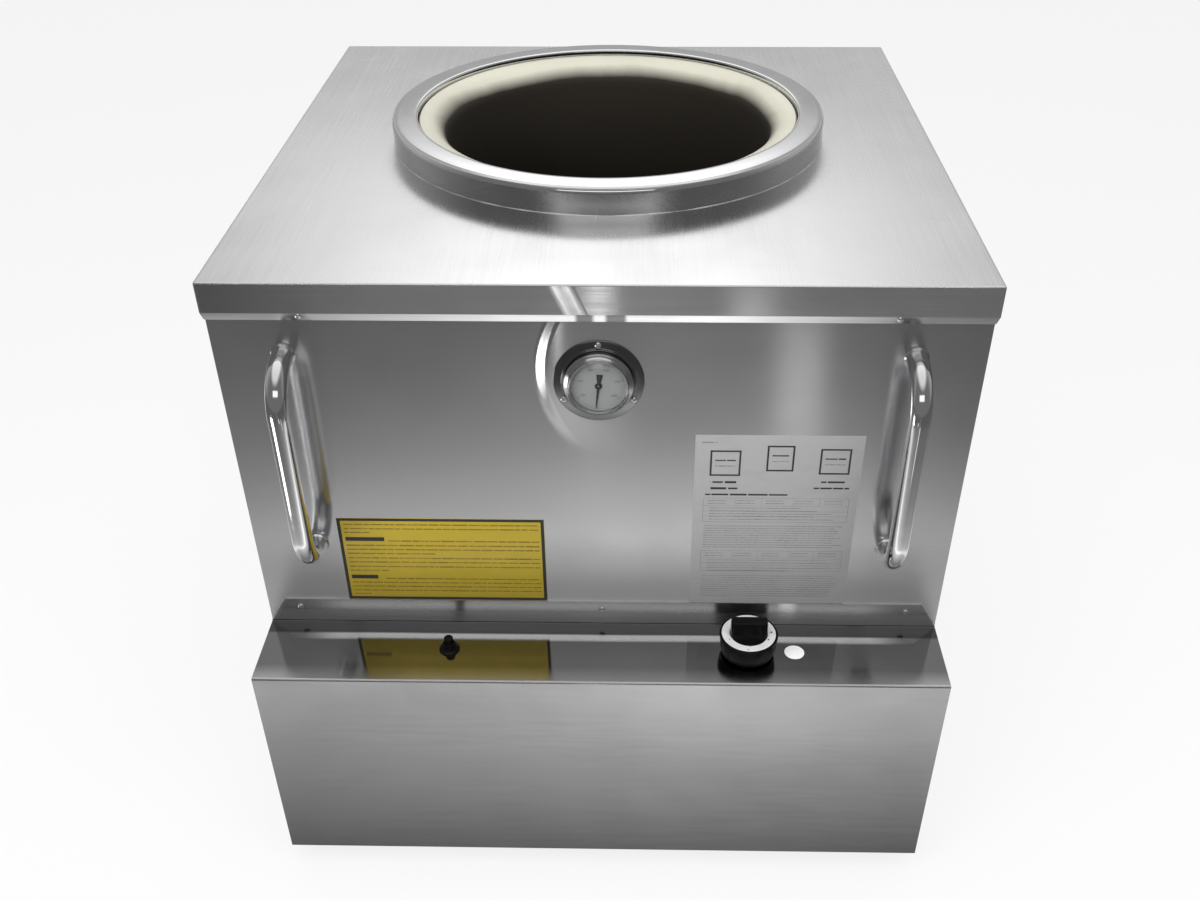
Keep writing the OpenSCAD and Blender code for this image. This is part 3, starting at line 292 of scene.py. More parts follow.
def clear_glass():
    """Gauge glass that lets lamp light through to the dial."""
    glass = Finish("clear_glass", (0.96, 0.98, 0.98), 0.03, Transmission_Weight=1.0, IOR=1.45)
    glass.roughen(glass.remap(glass.noise(40.0), 0.01, 0.06))
    clear = glass.node("BsdfTransparent").outputs[0]
    shadow = glass.node("LightPath").outputs["Is Shadow Ray"]
    glass.show(glass.node("MixShader", {0: shadow, 1: glass.surface.outputs[0], 2: clear}).outputs[0])


def printed(name, colour, roughness):
    """Printed sticker: even colour with a light scuff and a faintly wavy surface."""
    sheet = Finish(name, colour, roughness, Coat_Weight=0.15, Coat_Roughness=0.3)
    scuffs = sheet.noise(30.0, 5.0, (1, 1, 2), distortion=0.7)
    sheet.paint(sheet.blend(sheet.remap(scuffs, 0, 0.6, 0.45, 0.8), colour, shade(colour, 0.88)))
    sheet.bump(sheet.noise(18.0, 1.0), 0.3, 0.0015)
    sheet.bump(sheet.noise(700.0), 0.06, 0.0001)


def casing_front():
    """Front panel: brushed, duller near the shelf and lighter there from painted light, slightly raised round
    the gauge with a curved edge.
    """
    steel = brushed("casing_front", STEEL, 0.2, (1, 90, 90), "Z", 0.25, 0.04)
    lit_and_dull_below, edge_at, edge_radius = 0.45, (0.076, -0.393, 0.72), 0.141
    low = steel.step(steel.axis("Z"), lit_and_dull_below, 0.12)
    plain = steel.surface.inputs["Base Color"].links[0].from_socket
    # Painted light: the panel's colour is lighter near the shelf.
    steel.paint(steel.blend(low, plain, cool(0.93)))
    dull = steel.times(low, 0.28)
    steel.roughen(steel.total(dull, steel.remap(steel.noise(9.0, 4.0), -0.015, 0.025), 0.2))
    place = steel.vector("SUBTRACT", steel.where, edge_at)
    distance = steel.vector("LENGTH", steel.vector("MULTIPLY", place, (1, 0, 1)))
    raised = steel.step(distance, edge_radius, 0.017)
    upper = steel.step(steel.times(steel.axis("Z"), -1.0), -0.67, 0.12)
    left = steel.step(steel.axis("X"), 0, 0.12)
    steel.bump(steel.times(raised, steel.times(upper, left)), 1.0, 0.0071)


def skirt_steel():
    """Cover's skirt, with a faint slanted dent in front, and painted shade making it darker towards its left
    end.
    """
    steel = brushed("skirt_steel", STEEL, 0.2, (1, 1, 90), "Z", 0.25)
    dent_x, dent_z, slope = -0.04, 0.828, 0.46
    along_x = steel.axis("X")
    slanted = steel.total(along_x, steel.times(steel.axis("Z"), slope), -dent_x - slope * dent_z)
    front = steel.remap(steel.axis("Y"), 1, 0, -0.39, -0.38)
    near = steel.step(along_x, 0.2, 0.36)
    raised = steel.maths("SUBTRACT", 1.0, steel.step(slanted, 0, 0.03))
    steel.bump(steel.times(steel.times(raised, near), front), 1.0, 0.0123)
    # Painted shade: darker towards the left end.
    steel.paint(steel.blend(steel.remap(along_x, 0, 1, -0.43, -0.25), cool(0.45), cool(0.84)))


def shelf_steel():
    """Shelf of the control box, a darkened copy of the box's steel as painted shade: a painted shade band by
    the fold, a thin painted highlight across it, and duller towards its worn front edge.
    """
    steel = brushed("shelf_steel", SHADED_SHELF_STEEL, 0.1, BOX_GRAIN, "X", 0, 0.07, 0.1)
    highlight_y, fold_shade_y, worn_y = -0.43, -0.418, -0.497
    back_y = steel.axis("Y")
    wavy = steel.total(back_y, steel.remap(steel.noise(3.0, 1.0, (1, 0, 0)), -0.0015, 0.0015))
    inside = steel.step(steel.maths("ABSOLUTE", steel.axis("X")), 0.36, 0.06)
    # Thin painted highlight across the shelf, faded out near its ends.
    light = steel.times(steel.remap(wavy, 0, 1, highlight_y, highlight_y + 0.003), inside)
    worn = steel.blend(steel.remap(back_y, 1, 0, worn_y, worn_y + 0.021), SHADED_SHELF_STEEL, grey(0.46))
    painted_highlight = steel.blend(light, worn, grey(0.75))
    # Painted shade: a dark band by the fold.
    fold_shade = steel.remap(wavy, 0, 1, fold_shade_y, fold_shade_y + 0.003)
    steel.paint(steel.blend(fold_shade, painted_highlight, grey(0.11)))
    steel.roughen(steel.remap(back_y, 0.22, 0.08, -0.498, -0.475))


def upstand_steel():
    """Upstand behind the shelf: duller along its lower half, and lighter there from a painted reflection."""
    steel = brushed("upstand_steel", BOX_STEEL, 0.2, BOX_GRAIN, "X", 0, 0.07, 0.1)
    lower = steel.remap(steel.axis("Z"), 1, 0, 0.366, 0.372)
    # Painted reflection: the lower band is lighter.
    steel.paint(steel.blend(lower, cool(0.75), grey(0.92)))
    steel.roughen(steel.remap(lower, 0.24, 0.3, 0, 1))


def hem_steel():
    """Turned-in lower edge of the cover, coloured with painted reflections: brightest in the middle, darker
    towards both ends, with two dark patches above the gauge that stand for the gauge mirrored in it.
    """
    steel = brushed("hem_steel", grey(0.95), 0.16, (1, 1, 60), "Z", 0.25, 0.05, 0.1)
    along_x = steel.axis("X")
    front = steel.step(steel.axis("Y"), -0.38, 0.01)
    # Painted reflection: lighter from the left end to the middle, darker towards the right end.
    left = steel.blend(steel.remap(along_x, 0, 1, -0.36, -0.1), grey(0.42), grey(1.0))
    painted_reflection = steel.blend(steel.remap(along_x, 0, 1, 0.12, 0.36), left, grey(0.3))
    # Painted reflection of the gauge: two dark patches.
    for middle_x, width in HEM_GAUGE_REFLECTIONS:
        far = steel.maths("ABSOLUTE", steel.maths("SUBTRACT", along_x, middle_x))
        mirrored_gauge = steel.times(front, steel.step(far, width / 2, 0.006))
        painted_reflection = steel.blend(mirrored_gauge, painted_reflection, grey(0.25))
    steel.paint(painted_reflection)


STEEL = cool(0.6)
BOX_STEEL = cool(0.52)
# Darker copy of the box's steel: painted shade on the shelf.
SHADED_SHELF_STEEL = grey(0.26)
BOX_GRAIN = (2, 40, 26)
# Centres and widths of the hem's painted reflections of the gauge.
HEM_GAUGE_REFLECTIONS = ((-0.0145, 0.019), (0.0195, 0.022))


def make_materials():
    """Makes each finish once, under the name that the pieces call it by."""
    casing_front()
    brushed("casing_side", STEEL, 0.2, (90, 1, 90), "Z", 0.25)
    brushed("casing_rear", STEEL, 0.2, (1, 90, 90), "Z", 0.25)
    brushed("cover_steel", cool(0.8), 0.26, (60, 1, 60), "Y", 0, 0.04, 0.05)
    skirt_steel()
    hem_steel()
    brushed("box_steel", BOX_STEEL, 0.22, BOX_GRAIN, "X", 0, 0.09, 0.2)
    shelf_steel()
    upstand_steel()
    polished("polished_steel", (0.8, 0.8, 0.81), 0.05)
    polished("turned_steel", cool(0.5), 0.14)
    # Darker copy of the ring's steel: painted shade on its wall.
    polished("shaded_ring_steel", cool(0.5), 0.05)
    polished("dark_chrome", cool(0.22), 0.12)
    polished("screw_steel", grey(0.84), 0.14)
    fired_clay()
    firebrick()
    wool()
    dial_face()
    clear_glass()
    printed("yellow_plate", (0.54, 0.40, 0.035), 0.42)
    printed("white_plate", cool(0.47), 0.4)
    printed("label_white", (0.86, 0.86, 0.85), 0.4)
    grainy("frame_steel", cool(0.12), 0.55, 0.0, 220, 0.2, wear=grey(0.35))
    grainy("zinc_steel", (0.62, 0.62, 0.64), 0.34, 1.0, 400, 0.12, 0.0001, 0.08)
    grainy("black_rubber", grey(0.025), 0.8, 0.0, 700, 0.4, 0.0003)
    grainy("needle_black", grey(0.004), 0.5, 0.0, 900, 0.05, 0.0001)
    grainy("print_ink", grey(0.03), 0.5, 0.0, 900, 0.05, 0.00005, 0.3)
    grainy("dial_ink", grey(0.09), 0.6, 0.0, 900, 0.05, 0.00005, 0.25)
    grainy("grey_ink", grey(0.3), 0.6, 0.0, 900, 0.05, 0.00005, 0.25)
    grainy("olive_ink", (0.27, 0.19, 0.03), 0.6, 0.0, 900, 0.05, 0.00005, 0.2)
    grainy("black_plastic", grey(0.004), 0.14, 0.0, 1400, 0.08, 0.00003, 0.2, Specular_IOR_Level=0.12)
    grainy("dial_ring", (0.78, 0.78, 0.77), 0.35, 0.25, 1200, 0.05, 0.00005, 0.05)
    grainy("brass", (0.62, 0.42, 0.15), 0.3, 1.0, 350, 0.1, 0.0001, 0.1, (0.85, 0.65, 0.3))
    grainy("lead_silicone", (0.55, 0.09, 0.03), 0.5, 0.0, 500, 0.1, 0.0001)
    grainy("electrode_ceramic", (0.8, 0.79, 0.74), 0.22, 0.0, 300, 0.05, 0.0001, 0.04)
    grainy("soft_tube", (0.62, 0.62, 0.6), 0.35, 1.0, 260, 0.1, 0.0002)
    grainy("copper", (0.62, 0.28, 0.14), 0.35, 1.0, 300, 0.1, 0.0002, 0.15)
    grainy("gas_iron", (0.05, 0.05, 0.052), 0.5, 0.6, 160, 0.4, 0.0006, 0.25, (0.25, 0.24, 0.23))
    grainy("burner_iron", (0.055, 0.048, 0.043), 0.75, 0.4, 120, 0.6, 0.001, 0.3)


# ---- mesh tools

def circle(count):
    """Angles evenly spaced round a full turn."""
    return [2 * math.pi * k / count for k in range(count)]


def polar(radius, angle, z=0.0):
    return (radius * math.cos(angle), radius * math.sin(angle), z)


class Shape:
    """Points and faces of one piece, gathered before it becomes a mesh."""

    def __init__(self, place=Matrix()):
        self.points = []
        self.faces = []
        self.kinds = []
        self.place = place
        self.kind = 0

    def add(self, points, faces):
        start = len(self.points)
        self.points += [self.place @ Vector(p) for p in points]
        self.faces += [tuple(start + i for i in face) for face in faces]
        self.kinds += [self.kind] * len(faces)

    def loft(self, rings, closed=False, cap_first=False, cap_last=False):
        """Skin over closed rings of equal length; closed joins the last ring to the first."""
        size = len(rings[0])
        points = [p for ring in rings for p in ring]
        faces = []
        for i in range(len(rings) if closed else len(rings) - 1):
            j = (i + 1) % len(rings)
            for k in range(size):
                m = (k + 1) % size
                faces.append((i * size + k, i * size + m, j * size + m, j * size + k))
        if cap_first:
            faces.append(tuple(range(size - 1, -1, -1)))
        if cap_last:
            faces.append(tuple((len(rings) - 1) * size + k for k in range(size)))
        self.add(points, faces)
        return self

    def revolve(self, profile, steps=96, closed=True, unit=MM):
        """Turns [radius, height] pairs round the local Z axis."""
        rings = []
        for radius, height in profile:
            radius = max(radius * unit, 1e-6)
            rings.append([polar(radius, a, height * unit) for a in circle(steps)])
        return self.loft(rings, closed=closed)

    def strip(self, left, low, right, high, level):
        """Thin printed bar in the local XY plane."""
        self.add(at_level([(left, low), (right, low), (right, high), (left, high)], level), [(0, 1, 2, 3)])

    def make(self, name, materials, replaced=None, slot=None, body="oven", sharp=38):
        """Makes the piece, on its body, in place of its CAD node; slot is not used."""
        mesh = bpy.data.meshes.new(name)
        mesh.from_pydata(self.points, [], self.faces)
        for material in [materials] if isinstance(materials, str) else materials:
            mesh.materials.append(MATERIALS[material])
        mesh.polygons.foreach_set("material_index", self.kinds)
        mesh.polygons.foreach_set("use_smooth", [True] * len(mesh.polygons))
        mesh.update()
        mesh.set_sharp_from_angle(angle=math.radians(sharp))
        piece = add_object(name, mesh)
        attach(piece, body)
        if replaced:
            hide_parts(replaced)
        return piece


def add_object(name, data):
    made = bpy.data.objects.new(name, data)
    bpy.context.scene.collection.objects.link(made)
    return made


def arc(cx, cy, radius, start, end, steps):
    """Points of an arc, in degrees."""
    turn = [math.radians(start + (end - start) * i / steps) for i in range(steps + 1)]
    return [(cx + radius * math.cos(a), cy + radius * math.sin(a)) for a in turn]


def rounded_rectangle(centre, half_x, half_y, radius, per_side, per_corner):
    """Closed outline, anticlockwise, with points along its sides as well."""
    corners = [(1, -1, -90), (1, 1, 0), (-1, 1, 90), (-1, -1, 180)]
    outline = []
    for sx, sy, start in corners:
        cx = centre.x + sx * (half_x - radius)
        cy = centre.y + sy * (half_y - radius)
        bend = arc(cx, cy, radius, start, start + 90, per_corner)
        if outline:
            outline += between(outline[-1], bend[0], per_side)
        outline += bend
    return outline + between(outline[-1], outline[0], per_side)


def between(a, b, parts):
    """Points strictly between two others."""
    return [(a[0] + (b[0] - a[0]) * i / parts, a[1] + (b[1] - a[1]) * i / parts) for i in range(1, parts)]


def at_level(outline, z):
    return [(x, y, z) for x, y in outline]


def facing(side, centre):
    """Local XY on an upright face, Z outwards; side 0 is the front, 90 right, 180 back, 270 left."""
    turned = Matrix.Rotation(math.radians(side), 4, "Z") @ Matrix.Rotation(math.radians(90), 4, "X")
    return Matrix.Translation(centre) @ turned


def middle(low, high):
    return (low + high) / 2


def standing(node, level=0.0):
    """Local axes on a node's upright middle line."""
    centre = middle(*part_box(node))
    return Matrix.Translation((centre.x, centre.y, level))


# ---- sheet metal

def make_cover():
    """Folded cover: rounded edges, a lower edge drawn in by its screws, and the round hole for the mouth."""
    low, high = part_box("top_cover")
    centre = middle(low, high)
    mouth = middle(*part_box("neck_seal"))
    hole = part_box("neck_seal")[1].x - mouth.x + 0.3 * MM
    half = (high - low) / 2
    bend, corner, hem = 2.0 * MM, 1.6 * MM, 9 * MM
    tuck = 2.4 * MM
    inside = half.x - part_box("front_panel")[1].x - 0.1 * MM

    def outline(inset, z):
        return at_level(rounded_rectangle(centre, half.x - inset, half.y - inset, corner, 24, 5), z)

    def mouth_edge(z):
        angles = [math.atan2(y - mouth.y, x - mouth.x) for x, y, _ in outline(0, z)]
        return [(mouth.x + hole * math.cos(a), mouth.y + hole * math.sin(a), z) for a in angles]

    rings = [mouth_edge(high.z - SHEET), mouth_edge(high.z), outline(bend + 1.5 * MM, high.z)]
    rings += [outline(bend - across, z) for across, z in arc(0, high.z - bend, bend, 90, 0, 5)]
    skirt_from = len(rings) - 1
    rings += [outline(0, low.z + hem + 0.6 * MM)]
    hem_from = len(rings) - 1
    rings += [outline(0.1 * MM, low.z + hem), outline(tuck, low.z + 0.4 * MM)]
    rings += [outline(tuck + 0.4 * MM, low.z)]
    under_from = len(rings) - 1
    rings += [outline(inside, low.z + 0.3 * MM), outline(inside, high.z - SHEET)]
    parts = [rings[:skirt_from + 1], rings[skirt_from:hem_from + 1], rings[hem_from:under_from + 1],
             rings[under_from:] + rings[:1]]
    cover = Shape()
    for kind, part in zip((0, 1, 2, 1), parts):
        cover.kind = kind
        cover.loft(part)
    cover.make("cover", ["cover_steel", "skirt_steel", "hem_steel"], "top_cover", "cover_steel", sharp=15)


def make_ring_weld():
    """Thin uneven bead where the ring's wall meets the cover."""
    low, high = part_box("mouth_ring")
    centre = middle(low, high)
    outer = (high.x - low.x) / 2
    steps = 240
    dice = random.Random(7)
    rough = [dice.uniform(0.2, 1.0) for _ in range(steps)]
    rings = []
    for k, angle in enumerate(circle(steps)):
        size = (rough[k] + rough[k - 1] + rough[k - 2]) / 3 * 1.1 * MM
        bead = [(0, 0), (size, 0), (0.8 * size, 0.4 * size), (0.3 * size, 0.9 * size), (0, size)]
        reach = [(outer - 0.2 * MM + across, low.z + up) for across, up in bead]
        rings.append([(centre.x + r * math.cos(angle), centre.y + r * math.sin(angle), z) for r, z in reach])
    Shape().loft(rings, closed=True).make("ring_weld", "screw_steel", slot="polished_steel", sharp=80)


def make_mouth_ring():
    """Rolled ring with a flat top, a round bead and a turned-down inner edge; the faces below the bead are
    painted darker as painted shade.
    """
    low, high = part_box("mouth_ring")
    outer = (high.x - low.x) / 2
    wall, width, bead, edge, lip = 2.0 * MM, 34.0 * MM, 8.0 * MM, 2.5 * MM, 9 * MM
    inner = outer - width
    profile = [(outer - wall, low.z), (outer - 0.3 * MM, low.z), (outer, low.z + 0.4 * MM)]
    profile += [(outer - 0.25 * MM, low.z + 12 * MM)]
    profile += arc(outer - bead, high.z - bead, bead, 0, 72, 12)
    profile += [(outer - bead - 2 * MM, high.z - 0.5 * MM), (outer - bead - 4 * MM, high.z - 0.4 * MM)]
    profile += [(inner + edge + 3 * MM, high.z)]
    profile += arc(inner + edge, high.z - edge, edge, 90, 180, 6)
    profile += [(inner, high.z - lip), (inner + wall, high.z - lip), (inner + wall, high.z - wall)]
    profile += [(outer - wall, high.z - wall)]
    ring = Shape(standing("mouth_ring")).revolve(profile, 192, unit=1)
    top = high.z - 0.9 * bead
    # Faces below the bead take the darker copy: painted shade on the ring's wall.
    ring.kinds = [1 if sum(ring.points[i].z for i in face) / len(face) < top else 0 for face in ring.faces]
    finishes = ["polished_steel", "shaded_ring_steel"]
    ring.make("mouth_ring_rolled", finishes, "mouth_ring", "polished_steel", sharp=30)


def make_clay_pot():
    """Thrown pot: rounded lip, smooth neck, wide belly, hole in the floor."""
    low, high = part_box("clay_pot")
    wall, neck, belly, base, hole = 36 * MM, 218 * MM, 315 * MM, 240 * MM, 110 * MM
    floor_z, belly_z = low.z + 30 * MM, low.z + 235 * MM
    lip_h = 31 * MM
    neck_z = high.z - lip_h

    def inside(z):
        if z >= belly_z:
            return belly - (belly - neck) * (1 - math.cos(math.pi * (z - belly_z) / (neck_z - belly_z))) / 2
        return base + (belly - base) * math.sqrt(max(0, 1 - ((belly_z - z) / (belly_z - floor_z)) ** 2))

    heights = [belly_z - (belly_z - floor_z) * math.cos(math.pi / 2 * i / 16) for i in range(1, 16)]
    heights += [belly_z + (neck_z - belly_z) * i / 30 for i in range(31)]
    edge = 3 * MM
    profile = [(hole, low.z), (hole, floor_z - edge), (hole + edge, floor_z), (base, floor_z)]
    profile += [(inside(z), z) for z in heights]
    lip = [math.radians(90 * i / 16) for i in range(1, 16)]
    profile += [(neck + wall - wall * math.cos(a), neck_z + lip_h * math.sin(a)) for a in lip]
    profile += [(neck + wall - 2 * MM, high.z), (neck + wall, high.z - 2 * MM)]
    profile += [(inside(z) + wall, z) for z in reversed(heights[:-1])]
    profile += [(base + wall, floor_z), (base + wall, low.z)]
    pot = Shape(standing("clay_pot")).revolve(profile, 160, unit=1)
    pot.make("clay_pot_thrown", "fired_clay", "clay_pot", sharp=50)


def make_control_box():
    """One folded sheet: flange behind the shelf, shelf, apron and bottom return."""
    low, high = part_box("control_box_cover")
    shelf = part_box("round_label")[0].z
    radius, inner = 3.2 * MM, 1.7 * MM
    slant, slant_h = 22 * MM, 30 * MM
    back, front = high.y, low.y
    outer = [(back, high.z), (back - SHEET, high.z)]
    outer += arc(back - SHEET - inner, shelf + inner, inner, 0, -90, 6)
    outer += arc(front + radius, shelf - radius, radius, 90, 180, 8)
    outer += arc(front + radius, low.z + radius, radius, 180, 270, 8)
    outer += [(front + 12 * MM, low.z), (front + 12 * MM, low.z + SHEET)]
    outer += arc(front + radius, low.z + radius, inner, 270, 180, 6)
    outer += arc(front + radius, shelf - radius, inner, 180, 90, 6)
    outer += arc(back - radius, shelf - SHEET + radius, radius, -90, 0, 6)

    def reach(y, z):
        if y < back - radius - 0.1 * MM or z < high.z - slant_h:
            return high.x
        return high.x - slant * (z - high.z + slant_h) / slant_h

    columns = 24
    shares = [2 * i / columns - 1 for i in range(columns + 1)]
    box = Shape().loft([[(share * reach(y, z), y, z) for y, z in outer] for share in shares],
                       cap_first=True, cap_last=True)

    def finish_at(face):
        place = sum((box.points[i] for i in face), Vector()) / len(face)
        if place.z > shelf + 0.5 * radius:
            return 2
        return 1 if place.z > shelf - 0.2 * MM and place.y > front + radius else 0

    box.kinds = [finish_at(face) for face in box.faces]
    finishes = ["box_steel", "shelf_steel", "upstand_steel"]
    box.make("control_box_folded", finishes, "control_box_cover", "box_steel", sharp=40)


# ---- handles and screws

def along(path, radii, sides):
    """Rings round a path that stays in one YZ plane, square to it."""
    across = Vector((1, 0, 0))
    rings = []
    for i, point in enumerate(path):
        ahead = path[min(i + 1, len(path) - 1)] - path[max(i - 1, 0)]
        up = ahead.normalized().cross(across)
        rings.append([point + radii[i] * (math.cos(a) * across + math.sin(a) * up) for a in circle(sides)])
    return rings


def make_handle(node):
    """Bent tube with weld beads where it meets the casing."""
    low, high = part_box(node)
    x = (low.x + high.x) / 2
    radius = (high.x - low.x) / 2
    bend, slim = 50 * MM, 0.985
    wall_y, grip_y = high.y, low.y + radius
    top, bottom = high.z - radius, low.z + radius
    legs = [(wall_y, 1.14), (wall_y - 1.2 * MM, 1.12), (wall_y - 2.6 * MM, 1.0)]
    route = [(y, top, r) for y, r in legs]
    route += [(y, z, 1) for y, z in arc(grip_y + bend, top - bend, bend, 90, 180, 20)]
    route += [(grip_y, z, 1) for z in (top - 1.3 * bend, (top + bottom) / 2, bottom + 1.3 * bend)]
    route += [(y, z, 1) for y, z in arc(grip_y + bend, bottom + bend, bend, 180, 270, 20)]
    route += [(y, bottom, r) for y, r in reversed(legs)]
    path = [Vector((x, y, z)) for y, z, _ in route]
    tube = Shape().loft(along(path, [radius * slim * r for _, _, r in route], 40))
    tube.make(node + "_tube", "polished_steel", node, sharp=60)


def star(radius, z, sides):
    """Outline of a cross recess."""
    reach = [(a, radius * (0.45 + 0.55 * abs(math.cos(2 * a)) ** 5)) for a in circle(sides)]
    return [polar(r, a, z) for a, r in reach]


def pan_head(shape, place):
    """Domed screw head with a cross recess."""
    radius, height, sides = 4 * MM, 2.4 * MM, 32
    shape.place = place
    dome = [(1.0, 0.0), (1.0, 0.25), (0.93, 0.55), (0.78, 0.8), (0.6, 0.93), (0.5, 0.97)]
    rings = [[polar(radius * r, a, height * h) for a in circle(sides)] for r, h in dome]
    rings += [star(radius * r, height * h, sides) for r, h in ((0.44, 0.98), (0.4, 0.8), (0.2, 0.3))]
    shape.loft(rings, cap_last=True)


def make_screws(node, places):
    """All heads of one screw node, each at its own place."""
    heads = Shape()
    for index, place in enumerate(places):
        pan_head(heads, place @ Matrix.Rotation(1.9 * index + 0.4, 4, "Z"))
    heads.make(node + "_heads", "screw_steel", node, sharp=35)


def make_all_screws():
    """Heads on the cover's skirt, the flange behind the shelf, the rear panel and the gauge."""
    low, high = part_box("top_cover")
    centre = middle(low, high)
    half = (high - low) / 2
    tilt = Matrix.Rotation(math.radians(15), 4, "X")
    skirt = []
    for side, reach in ((0, half.y), (90, half.x), (180, half.y), (270, half.x)):
        out = Matrix.Rotation(math.radians(side), 3, "Z") @ Vector((0, -1, 0))
        across = Matrix.Rotation(math.radians(90), 3, "Z") @ out
        for sign in (-1, 1):
            at = centre + out * (reach - 1.6 * MM) + across * sign * COVER_SCREW_X
            skirt.append(facing(side, (at.x, at.y, low.z + 5.5 * MM)) @ tilt)
    make_screws("cover_screws", skirt)
    flange_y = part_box("front_panel")[0].y - SHEET
    screw_z = middle(*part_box("upstand_screws")).z
    make_screws("upstand_screws", [facing(0, (x, flange_y, screw_z)) for x in UPSTAND_SCREW_X])
    rear_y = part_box("rear_panel")[1].y
    rear = [facing(180, (x, rear_y, z)) for x in REAR_SCREW_X for z in REAR_SCREW_Z]
    make_screws("rear_panel_screws", rear)
    centre = middle(*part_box("gauge_case"))
    ring = arc(0, centre.z, 46 * MM, 90, 330, 2)
    make_screws("gauge_screws", [facing(0, (x, flange_y, z)) for x, z in ring])


# ---- gauge

def gauge_place():
    """Local axes of the gauge: Z out of the front panel, from its face."""
    centre = middle(*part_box("gauge_case"))
    return facing(0, (centre.x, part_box("front_panel")[0].y, centre.z))


def make_gauge_case():
    """Flange with a rolled collar, and the round case with its bezel."""
    rim = [(39.8, 0), (51.5, 0), (51.5, 0.7), (51.2, 1.2), (50.6, 1.5), (42.6, 1.5), (41.9, 1.8), (41.5, 2.4)]
    rim += arc(40.65, 3.2, 0.85, 0, 180, 8)
    flange = Shape(gauge_place()).revolve(rim, 128)
    flange.make("gauge_flange_plate", "dark_chrome", "gauge_flange", "polished_steel", sharp=40)
    line = [(4.8, 0), (39.5, 0), (39.5, 9.0)] + arc(37.5, 9.2, 2.0, 0, 70, 8)
    line += [(34.8, 12.7), (34.0, 13.4)] + arc(32.6, 14.9, 1.1, 0, 170, 9)
    line += [(31.5, 13.8), (33.3, 13.8), (33.3, 9.0), (31.0, 9.0), (31.0, 1.5), (4.8, 1.5)]
    case = Shape(gauge_place()).revolve(line, 128)
    case.make("gauge_case_turned", "turned_steel", "gauge_case", "polished_steel", sharp=40)


def lettering(text, size):
    """Mesh points and faces of a text, centred on its origin."""
    curve = bpy.data.curves.new("figure", "FONT")
    curve.body = text
    curve.size = size
    curve.align_x = "CENTER"
    curve.align_y = "CENTER"
    figure = add_object("figure", curve)
    bpy.context.view_layer.update()
    mesh = figure.evaluated_get(bpy.context.evaluated_depsgraph_get()).to_mesh()
    points = [v.co.copy() for v in mesh.vertices]
    faces = [tuple(f.vertices) for f in mesh.polygons]
    bpy.data.objects.remove(figure)
    bpy.data.curves.remove(curve)
    return points, faces


def make_dial():
    """Dial card with scale ticks and numbers from 0 to 600."""
    disc = Shape(gauge_place())
    disc.revolve([(1.5, 9.0), (32.9, 9.0), (32.9, 9.8), (1.5, 9.8)])
    disc.kind = 1
    level = 9.84 * MM
    start, sweep, marks, reach = 264, -300, 60, 21.6 * MM
    angles = [math.radians(start + sweep * k / marks) for k in range(marks + 1)]
    for k, angle in enumerate(angles):
        inner, half = (26.0, 0.35) if k % 10 == 0 else (27.6, 0.16)
        disc.place = gauge_place() @ Matrix.Rotation(angle, 4, "Z")
        disc.strip(inner * MM, -half * MM, 29.4 * MM, half * MM, level)
    for k, angle in list(enumerate(angles))[::10]:
        disc.place = gauge_place() @ Matrix.Translation(polar(reach, angle, level))
        disc.add(*lettering(str(k * 10), 4.4 * MM))
    disc.make("gauge_dial_card", ["dial_face", "dial_ink"], "gauge_dial", "dial_face", sharp=30)


def make_needle():
    """Needle with a round hub and a flared tail."""
    needle = Shape(gauge_place() @ Matrix.Rotation(math.radians(NEEDLE_LEAN), 4, "Z"))
    outline = [(-0.4, -28), (0.4, -28), (1.5, -3), (1.9, 0), (1.7, 3), (3.7, 14.5), (-3.7, 14.5), (-1.7, 3),
               (-1.9, 0), (-1.5, -3)]
    levels = [(1, 10.42), (1, 11.0), (0.8, 11.18)]
    rings = [[(x * k * MM, (y if abs(y) > 5 else y * k) * MM, z * MM) for x, y in outline] for k, z in levels]
    needle.loft(rings, cap_first=True, cap_last=True)
    needle.revolve([(1.06, 10.4), (4.0, 10.4), (4.0, 11.1), (3.5, 11.4), (2.0, 11.6), (1.06, 11.62)], 40)
    needle.make("gauge_pointer", "needle_black", "gauge_needle", body="needle", sharp=30)


def make_glass():
    """Slightly domed window."""
    shares = [1 - k / 12 for k in range(13)]
    front = [(32.9 * share, 13.35 + 0.4 * (1 - share ** 2)) for share in shares]
    pane = Shape(gauge_place()).revolve([(0, 11.8), (32.9, 11.8)] + front, closed=False)
    pane.make("gauge_window", "clear_glass", "gauge_glass", sharp=40)


# ---- knob and igniter

